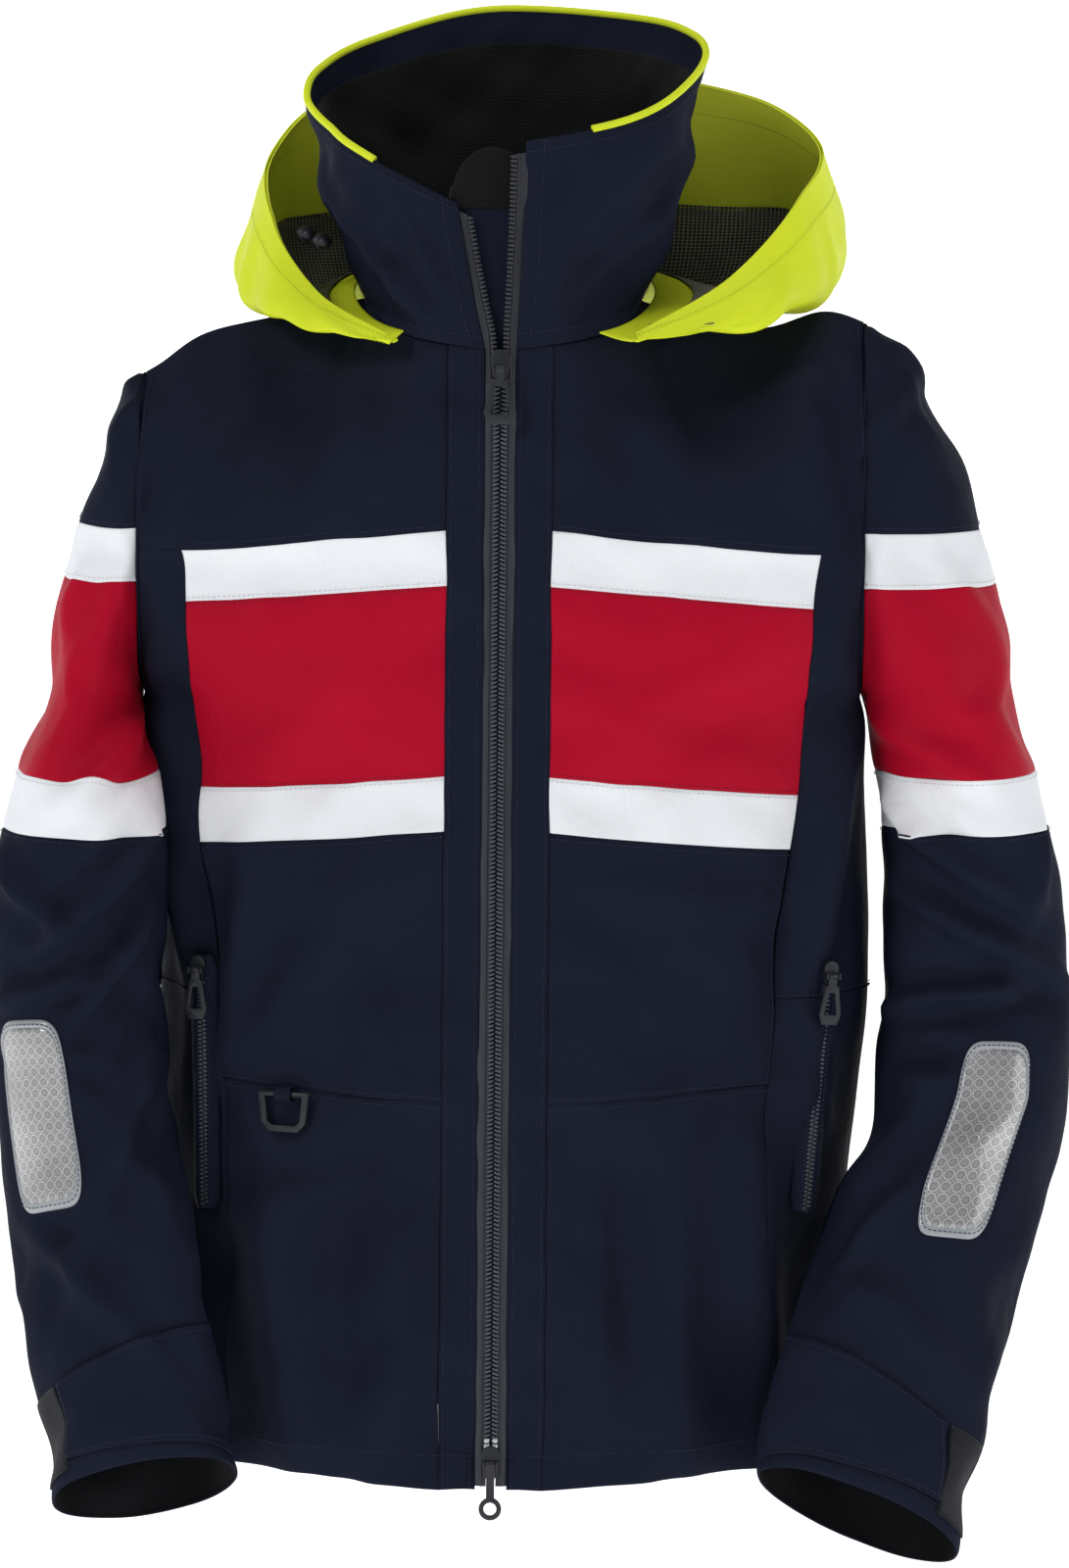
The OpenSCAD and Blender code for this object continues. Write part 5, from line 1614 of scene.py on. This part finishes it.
# ---------------------------------------------------------------- stage, light and camera
def area(name, at, size, power, look, tint=(1, 1, 1)):
    d = bpy.data.lights.new(name, "AREA")
    d.energy, d.size, d.color = power, size, tint
    o = bpy.data.objects.new(name, d)
    bpy.context.scene.collection.objects.link(o)
    o.location = at
    o.rotation_euler = (Vector(look) - Vector(at)).to_track_quat("-Z", "Y").to_euler()
    return o


def build_stage():
    # round studio: a disc that curves up into a low wall all the way round
    low, radius, bend, turns = -0.80, 8.0, 1.2, 96
    profile = [(0.5, low), (2.0, low), (5.0, low), (radius, low)]
    profile += [(radius + bend * math.sin(t), low + bend * (1 - math.cos(t)))
                for t in np.linspace(0.15, math.pi / 2, 10)]
    profile.append((radius + bend, 1.7))
    verts = [(r * 1000 * math.cos(2 * math.pi * k / turns),
              r * 1000 * math.sin(2 * math.pi * k / turns), z * 1000)
             for r, z in profile for k in range(turns)]
    faces = [tuple(range(turns))]
    for i in range(len(profile) - 1):
        for k in range(turns):
            k1 = (k + 1) % turns
            faces.append((i * turns + k, (i + 1) * turns + k, (i + 1) * turns + k1, i * turns + k1))
    floor = link("floor", verts, faces)
    floor.data.shade_smooth()
    m = bpy.data.materials.new("floor")
    m.use_nodes = True
    bsdf = m.node_tree.nodes["Principled BSDF"]
    obj = node(m, "ShaderNodeTexCoord")
    n1 = node(m, "ShaderNodeTexNoise", in_Scale=2.0, in_Detail=2.0)
    link_nodes(m, obj, "Object", n1, "Vector")
    mix = node(m, "ShaderNodeMix", data_type="RGBA")
    mix.inputs[6].default_value = (0.93, 0.93, 0.93, 1)
    mix.inputs[7].default_value = (0.97, 0.97, 0.97, 1)
    link_nodes(m, n1, "Fac", mix, 0)
    m.node_tree.links.new(mix.outputs[2], bsdf.inputs["Base Color"])
    bsdf.inputs["Roughness"].default_value = 0.95
    bsdf.inputs["Specular IOR Level"].default_value = 0.0
    bsdf.inputs["Emission Color"].default_value = (1, 1, 1, 1)
    split = node(m, "ShaderNodeSeparateXYZ")
    glow = node(m, "ShaderNodeMapRange", in_From_Min=-4.0, in_From_Max=-0.8, in_To_Min=0.36, in_To_Max=0.8)
    link_nodes(m, obj, "Object", split, "Vector")
    link_nodes(m, split, "Y", glow, "Value")
    link_nodes(m, glow, "Result", bsdf, "Emission Strength")
    floor.data.materials.append(m)
    world = bpy.data.worlds.new("studio")
    bpy.context.scene.world = world
    world.use_nodes = True
    bg = world.node_tree.nodes["Background"]
    bg.inputs["Color"].default_value = (1, 1, 1, 1)
    bg.inputs["Strength"].default_value = 0.11
    lights = [area("key", (-2.0, -2.2, 1.9), 0.9, 37, (0, 0, -0.3)),
              area("fill", (2.6, -1.5, 0.5), 1.2, 11, (0, 0, -0.3)),
              area("top", (0.2, -0.2, 2.4), 1.0, 18, (0, 0, -0.1)),
              area("rim_left", (2.2, 1.2, 0.8), 1.0, 6, (0, 0, -0.2)),
              area("rim_right", (-2.2, 1.2, 0.8), 1.0, 6, (0, 0, -0.2))]


def build_camera():
    cam = bpy.data.cameras.new("camera")
    cam.sensor_width = 36
    cam.lens = 161.5
    cam.clip_end = 60
    o = bpy.data.objects.new("camera", cam)
    bpy.context.scene.collection.objects.link(o)
    az, el, dist = math.radians(1), math.radians(6), 4.2
    target = Vector((0.020, 0, -0.290))
    away = Vector((math.sin(az) * math.cos(el), -math.cos(az) * math.cos(el), math.sin(el)))
    o.location = target + away * dist
    turn = (-away).to_track_quat("-Z", "Y").to_matrix().to_4x4()
    o.matrix_world = Matrix.Translation(o.location) @ turn @ Matrix.Rotation(math.radians(0.5), 4, "Z")
    bpy.context.scene.camera = o


build_stage()
build_camera()
scene = bpy.context.scene
scene.view_settings.view_transform = "Standard"
scene.view_settings.look = "None"
